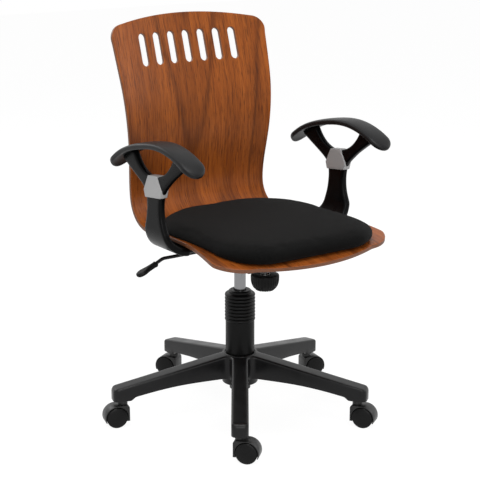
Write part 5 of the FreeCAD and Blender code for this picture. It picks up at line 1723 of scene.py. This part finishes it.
@dataclass
class Column:
    """Plastic sleeve, pleated cover and bright cylinder."""

    sleeve_radius: float = 34.5
    sleeve_wall: float = 2.2
    low: float = 150.0
    sleeve_top: float = 236.0
    bellows_radius: float = 36.3
    bellows_low: float = 231.0
    bellows_top: float = 299.0
    pleats: int = 8
    pleat_depth: float = 3.0
    collar_top: float = 307.0
    collar_radius: float = 27.5
    rod: float = 14.0

    def bellows(self, material: bpy.types.Material) -> bpy.types.Object:
        """Pleated cover, its wall a wave along the height."""
        steps = self.pleats * 14 + 1
        rows = steps + 2
        tree = Tree("pleated_wall", [
            ("Low", "NodeSocketFloat", self.bellows_low * MM),
            ("High", "NodeSocketFloat", self.bellows_top * MM),
            ("Radius", "NodeSocketFloat", self.bellows_radius * MM),
            ("Inner Radius", "NodeSocketFloat", (self.bellows_radius - self.pleat_depth - 1.2) * MM),
            ("Depth", "NodeSocketFloat", self.pleat_depth * MM),
            ("Pleats", "NodeSocketFloat", float(self.pleats)),
            ("Steps", "NodeSocketFloat", float(steps)),
        ])
        sheet = tree.add("GeometryNodeMeshGrid", {
            "Size X": 1.0, "Size Y": 1.0, "Vertices X": rows + 1, "Vertices Y": 121,
        })
        place = tree.add("ShaderNodeSeparateXYZ", {"Vector": tree.add("GeometryNodeInputPosition", {})})
        row = tree.sum_up("MULTIPLY", tree.sum_up("ADD", place.outputs["X"], 0.5), float(rows))
        row = tree.sum_up("ROUND", row)
        turn = tree.sum_up("MULTIPLY", tree.sum_up("ADD", place.outputs["Y"], 0.5), 2 * math.pi)
        last = tree.sum_up("SUBTRACT", tree.given("Steps"), 1.0)
        outer_row = tree.sum_up("COMPARE", row, float(rows))
        row = tree.sum_up("MULTIPLY", row, tree.sum_up("SUBTRACT", 1.0, outer_row))
        share = tree.sum_up("MINIMUM", tree.sum_up("DIVIDE", row, last), 1.0)
        phase = tree.sum_up("MULTIPLY", tree.sum_up("MULTIPLY", share, tree.given("Pleats")), math.pi)
        ridge = tree.sum_up("POWER", tree.sum_up("ABSOLUTE", tree.sum_up("SINE", phase)), 0.6)
        valley = tree.sum_up("SUBTRACT", 1.0, ridge)
        sunk = tree.sum_up("MULTIPLY", valley, tree.given("Depth"))
        radius = tree.sum_up("SUBTRACT", tree.given("Radius"), sunk)
        is_inner = tree.sum_up("GREATER_THAN", row, tree.sum_up("ADD", last, 0.5))
        gap = tree.sum_up("SUBTRACT", tree.given("Inner Radius"), radius)
        radius = tree.sum_up("ADD", radius, tree.sum_up("MULTIPLY", is_inner, gap))
        back_down = tree.sum_up("GREATER_THAN", row, tree.sum_up("ADD", last, 1.5))
        height_share = tree.sum_up("MULTIPLY", share, tree.sum_up("SUBTRACT", 1.0, back_down))
        rise = tree.sum_up("SUBTRACT", tree.given("High"), tree.given("Low"))
        height = tree.sum_up("ADD", tree.given("Low"), tree.sum_up("MULTIPLY", rise, height_share))
        spot = tree.add("ShaderNodeCombineXYZ", {
            "X": tree.sum_up("MULTIPLY", radius, tree.sum_up("COSINE", turn)),
            "Y": tree.sum_up("MULTIPLY", radius, tree.sum_up("SINE", turn)), "Z": height,
        })
        bent = tree.add("GeometryNodeSetPosition", {"Geometry": sheet.outputs["Mesh"], "Position": spot})
        joined = tree.add("GeometryNodeMergeByDistance", {"Geometry": bent, "Distance": 1e-6})
        thing = tree.build("bellows_pleats", joined.outputs[0], material)
        face_outward(thing, 75.0)
        return thing

    def build(self, shop: Workshop) -> None:
        """Make the column's pieces and hand them over."""
        inner = self.sleeve_radius - self.sleeve_wall
        sleeve = spin("column_sleeve_skin", rounded([
            (25.3, self.low + 0.1, 0.0), (self.sleeve_radius, self.low + 0.1, 1.2),
            (self.sleeve_radius, self.sleeve_top, 0.8), (inner, self.sleeve_top, 0.8),
            (inner, self.low + 2.4, 1.0), (25.3, self.low + 2.4, 0.0),
        ], 4) * MM, 120)
        shop.hand_over(sleeve, "base", "sleeve_plastic", "column_sleeve")
        pleats = self.bellows(shop.materials["bellows_rubber"])
        r, top = self.collar_radius, self.collar_top
        collar = spin("bellows_collar", rounded([
            (self.rod + 0.6, self.bellows_top - 3.2, 0.0), (32.4, self.bellows_top - 3.2, 0.0),
            (32.2, self.bellows_top - 0.4, 1.2), (r + 1.5, self.bellows_top + 0.2, 1.0),
            (r, self.bellows_top + 1.8, 0.6), (r, top - 2.6, 1.6), (r - 3.4, top, 1.2),
            (self.rod + 2.4, top, 0.8), (self.rod + 0.6, top - 1.6, 0.4),
        ], 5) * MM, 120)
        collar.data.materials.append(shop.materials["bellows_rubber"])
        whole = merged("bellows_skin", [pleats, collar])
        whole.data.materials.clear()
        shop.hand_over(whole, "base", "bellows_rubber", "bellows")
        rod = spin("cylinder_skin", rounded([
            (5.05, 136.0, 0.0), (self.rod, 136.0, 1.0), (self.rod, 366.0, 0.0), (13.2, 404.0, 0.4),
            (4.05, 404.0, 0.0), (4.05, 370.0, 0.0), (12.0, 370.0, 0.0), (12.0, 148.0, 0.0),
            (5.05, 148.0, 0.0),
        ], 4) * MM, 96)
        shop.hand_over(rod, "lift", "bright_chrome", "gas_cylinder")


@dataclass
class Controls:
    """Ribbed tension knob, height lever with its paddle, and the tilt mechanism."""

    knob_y: float = -100.0
    knob_radius: float = 33.0
    knob_top: float = 369.0
    knob_low: float = 329.5
    ribs: int = 30
    lever_z: float = 418.0
    lever_radius: float = 4.0
    bend_x: float = -213.0
    grip_start: tuple[float, float] = (-229.0, 409.0)
    grip_end: tuple[float, float] = (-281.0, 388.0)
    spring_low: float = 352.2
    spring_high: float = 384.6
    spring_radius: float = 11.0
    spring_wire: float = 0.9
    spring_turns: float = 5.0
    spring_kept: float = 0.58

    def spring(self) -> bpy.types.Object:
        """Coil round the tension bolt, with a washer at each end."""
        washer = 1.2
        low, high = self.spring_low + washer + self.spring_wire, self.spring_high - washer - self.spring_wire
        turns = np.linspace(0.0, self.spring_turns, int(self.spring_turns * 36) + 1)
        angles = turns * 2 * math.pi
        heights = low + (high - low) * turns / self.spring_turns
        across = self.spring_radius * np.cos(angles)
        along = self.knob_y + self.spring_radius * np.sin(angles)
        line = np.stack([across, along, heights], axis=1)
        parts = [sweep("coil", line * MM, self.spring_wire * MM, 12)]
        for start in (self.spring_low, self.spring_high - washer):
            ring = np.array([(5.0, start), (11.9, start), (11.9, start + washer), (5.0, start + washer)])
            parts.append(spin("washer", ring * MM, 60, centre=(0.0, self.knob_y * MM, 0.0)))
        return merged("tension_spring_skin", parts)

    def knob(self, shop: Workshop) -> bpy.types.Object:
        """Rounded cup with upright ribs."""
        r, top, low = self.knob_radius - 0.9, self.knob_top, self.knob_low
        curve = [(r - 1.5, top), (r - 0.4, top - 0.5), (r, top - 1.6), (r - 0.4, top - 10.0)]
        for step in range(0, 13):
            angle = math.pi / 2 * step / 12
            curve.append(((r - 1.0) * math.cos(angle) ** 0.85, low + 24.5 - 24.5 * math.sin(angle)))
        curve[-1] = (0.0, low)
        profile = curve + [(0.0, low + 11.0), (4.05, low + 11.0), (4.05, 352.0), (13.4, 352.0), (13.4, top)]
        cup = spin("knob_cup", np.array(profile) * MM, 120, centre=(0.0, self.knob_y * MM, 0.0))
        line = SmoothLine([(r - 0.5, top - 1.5), (r - 0.5, top - 10.0), (r - 1.2, low + 22.0),
                           (r - 5.6, low + 11.0), (r - 13.0, low + 3.4)])
        marks = line.at(np.linspace(0, line.knots[-1], 16))
        path = np.stack([marks[:, 0], np.zeros(16), marks[:, 1]], axis=1) * MM
        rib = sweep("rib", path, 1.25 * MM, 8)
        ribs = ring_of_copies("knob_ribs", rib, self.ribs, 0.0, (0.0, self.knob_y * MM, 0.0),
                              shop.materials["knob_plastic"])
        whole = merged("tension_knob_skin", [cup, ribs])
        whole.data.materials.clear()
        whole.data.shade_smooth()
        whole.data.set_sharp_from_angle(angle=math.radians(45))
        return whole

    def rod(self) -> bpy.types.Object:
        """Lever rod with an easy bend."""
        slope = np.array([self.grip_end[0] - self.grip_start[0], self.grip_end[1] - self.grip_start[1]])
        slope /= np.linalg.norm(slope)
        end = (self.grip_start[0] + slope[0] * 20.0, self.grip_start[1] + slope[1] * 20.0)
        corners = [(9.0, self.lever_z, 0.0), (self.bend_x, self.lever_z, 26.0), (end[0], end[1], 0.0)]
        line = even(rounded(corners, 10, closed=False), 4.0, closed=False)
        path = np.stack([line[:, 0], np.zeros(len(line)), line[:, 1]], axis=1) * MM
        return sweep("lever_rod_skin", path, self.lever_radius * MM, 24)

    def paddle(self) -> bpy.types.Object:
        """Flat paddle with a round end, a waist and a ridge along its neck."""
        start, end = np.array(self.grip_start), np.array(self.grip_end)
        length = float(np.linalg.norm(end - start))
        way = (end - start) / length
        up = np.array([way[1], -way[0]])
        if up[1] < 0:
            up = -up
        outline_half = [(0.0, 5.6), (3.0, 6.1), (14.0, 6.3), (24.0, 7.6), (34.0, 10.6), (42.0, 12.0),
                        (length - 7.0, 10.2), (length - 2.0, 6.6), (length, 0.0)]
        fit = SmoothLine(outline_half)
        side = fit.at(np.linspace(0, fit.knots[-1], 60))
        loop = np.vstack([side * np.array([1.0, -1.0]), side[::-1][1:]])
        loop = even(loop, 1.6)
        if signed_area(loop) < 0:
            loop = loop[::-1]

        def place(u: Array, v: Array, level: Level) -> Array:
            """Turn the paddle's outline into the lever's slope."""
            along = u / MM
            thick = 6.4 - 1.4 * np.clip((along - 18.0) / 24.0, 0.0, 1.0)
            lift = thick * (1 - 2 * level.share)
            x = start[0] + way[0] * along + up[0] * lift
            z = start[1] + way[1] * along + up[1] * lift
            return np.stack([x, v / MM, z], axis=1) * MM

        steps = ((5.0, 0.0), (3.4, 0.03), (2.0, 0.1), (0.9, 0.2), (0.2, 0.33), (0.0, 0.5))
        levels = [Level(inset * MM, share) for inset, share in steps]
        levels += [Level(level.inset, 1 - level.share) for level in reversed(levels[:-1])]
        return plate("lever_paddle", [loop * MM], levels, 2.5 * MM, place, 60.0)

    def build(self, shop: Workshop) -> None:
        """Make the controls and hand them over."""
        shop.hand_over(self.knob(shop), "tension_knob", "knob_plastic", "tension_knob")
        shop.hand_over(self.rod(), "height_lever", "black_steel", "lever_rod")
        shop.hand_over(self.paddle(), "height_lever", "knob_plastic", "lever_grip")
        spring = self.spring()
        shop.hand_over(spring, "seat", shop.slot_of["tension_spring"], "tension_spring")
        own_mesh(spring)
        nodes = shop.frame["nodes"]
        for name, body, width in (("mechanism_housing", "lift", 0.8), ("seat_plate", "seat", 0.6)):
            thing = eased_copy(nodes[name], name + "_skin", width * MM)
            thing.data.materials.clear()
            shop.hand_over(thing, body, "black_steel", name)


# Studio


@dataclass
class Studio:
    """Floor, lamps, background and camera."""

    target: tuple[float, float, float] = (0.0, 0.0, 0.4276)
    azimuth: float = -35.0
    elevation: float = 15.4
    distance: float = 3.1
    lens: float = 99.15
    aim: tuple[float, float, float] = (0.0, 0.0, 0.5)
    lamp_size: float = 1.6
    lamps: tuple[tuple[str, tuple[float, float, float], float], ...] = (
        ("top", (-0.5, -0.7, 3.0), 50.0), ("front", (-1.6, -3.0, 1.5), 31.0),
        ("side", (2.6, -1.0, 1.6), 12.0), ("rear", (-0.8, 2.6, 2.2), 22.0),
    )

    def floor(self) -> None:
        """Pale floor that keeps the shadow."""
        thing = make_object("floor", np.array([(-9, -9, 0), (9, -9, 0), (9, 9, 0), (-9, 9, 0)], dtype=float),
                            [(0, 1, 2, 3)])
        board = Board("pale_floor")
        tree = board.tree
        board.put("Base Color", (0.8, 0.8, 0.8, 1.0))
        board.put("Roughness", 0.9)
        path = board.add("ShaderNodeLightPath", {})
        seen = board.sum_up("MAXIMUM", path.outputs["Is Camera Ray"], path.outputs["Is Glossy Ray"])
        glow = board.add("ShaderNodeEmission", {"Color": (1.0, 1.0, 1.0, 1.0), "Strength": 0.93})
        soft = board.add("ShaderNodeBsdfDiffuse", {"Color": (0.16, 0.16, 0.16, 1.0)})
        both = board.add("ShaderNodeAddShader", {0: glow.outputs[0], 1: soft.outputs[0]})
        mix = board.add("ShaderNodeMixShader", {0: seen, 1: board.shader.outputs[0], 2: both.outputs[0]})
        tree.links.new(mix.outputs[0], tree.nodes["Material Output"].inputs["Surface"])
        thing.data.materials.append(board.material)
        thing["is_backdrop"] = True

    def sky(self) -> None:
        """White background with a plain even light."""
        world = bpy.data.worlds.new("studio")
        bpy.context.scene.world = world
        world.use_nodes = True
        tree = world.node_tree
        back = tree.nodes["Background"]
        back.inputs["Color"].default_value = (0.32, 0.32, 0.32, 1.0)
        back.inputs["Strength"].default_value = 1.0
        path = add_node(tree, "ShaderNodeLightPath", {})
        white = add_node(tree, "ShaderNodeBackground", {"Color": (1.0, 1.0, 1.0, 1.0), "Strength": 1.0})
        sharp = add_node(tree, "ShaderNodeMath", {
            0: path.outputs["Is Glossy Ray"], 1: path.outputs["Is Transmission Ray"],
        }, operation="MAXIMUM")
        seen = add_node(tree, "ShaderNodeMath", {
            0: path.outputs["Is Camera Ray"], 1: sharp,
        }, operation="MAXIMUM")
        mix = add_node(tree, "ShaderNodeMixShader", {0: seen, 1: back, 2: white})
        tree.links.new(mix.outputs[0], tree.nodes["World Output"].inputs["Surface"])

    def lamp(self, name: str, spot: tuple[float, float, float], power: float) -> None:
        """Soft square lamp that shines at the chair."""
        light = bpy.data.lights.new(name, "AREA")
        light.shape = "SQUARE"
        light.size = self.lamp_size
        light.energy = power
        thing = bpy.data.objects.new(name, light)
        thing.location = spot
        way = Vector(self.aim) - Vector(spot)
        thing.rotation_euler = way.to_track_quat("-Z", "Y").to_euler()
        bpy.context.scene.collection.objects.link(thing)

    def camera(self) -> None:
        """Camera at the photograph's viewing angle."""
        data = bpy.data.cameras.new("camera")
        data.lens = self.lens
        data.sensor_width = 36.0
        data.sensor_fit = "HORIZONTAL"
        thing = bpy.data.objects.new("camera", data)
        a, e = math.radians(self.azimuth), math.radians(self.elevation)
        offset = Vector((math.sin(a) * math.cos(e), -math.cos(a) * math.cos(e), math.sin(e))) * self.distance
        thing.location = Vector(self.target) + offset
        thing.rotation_euler = (-offset).to_track_quat("-Z", "Y").to_euler()
        bpy.context.scene.collection.objects.link(thing)
        bpy.context.scene.camera = thing

    def build(self) -> None:
        """Set up the studio."""
        bpy.context.scene.view_settings.view_transform = "Standard"
        self.floor()
        self.sky()
        for name, spot, power in self.lamps:
            self.lamp(name, spot, power)
        self.camera()


def main() -> None:
    """Build the chair in order."""
    logging.basicConfig(level=logging.INFO, format="%(name)s: %(message)s")
    studio = Studio()
    shop = Workshop()
    studio.build()
    shell = Shell()
    base = StarBase()
    for part in (shell, Cushion(shell), Armrest(shell), base, Casters(base), Column(), Controls()):
        part.build(shop)
        LOG.info("%s is done", type(part).__name__)
    shop.dress_cad()
    bpy.context.view_layer.update()
    sizes = {"cad": [list(corner) for corner in shop.cad_box], "visual": [list(corner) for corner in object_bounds()]}


if __name__ == "__main__":
    main()
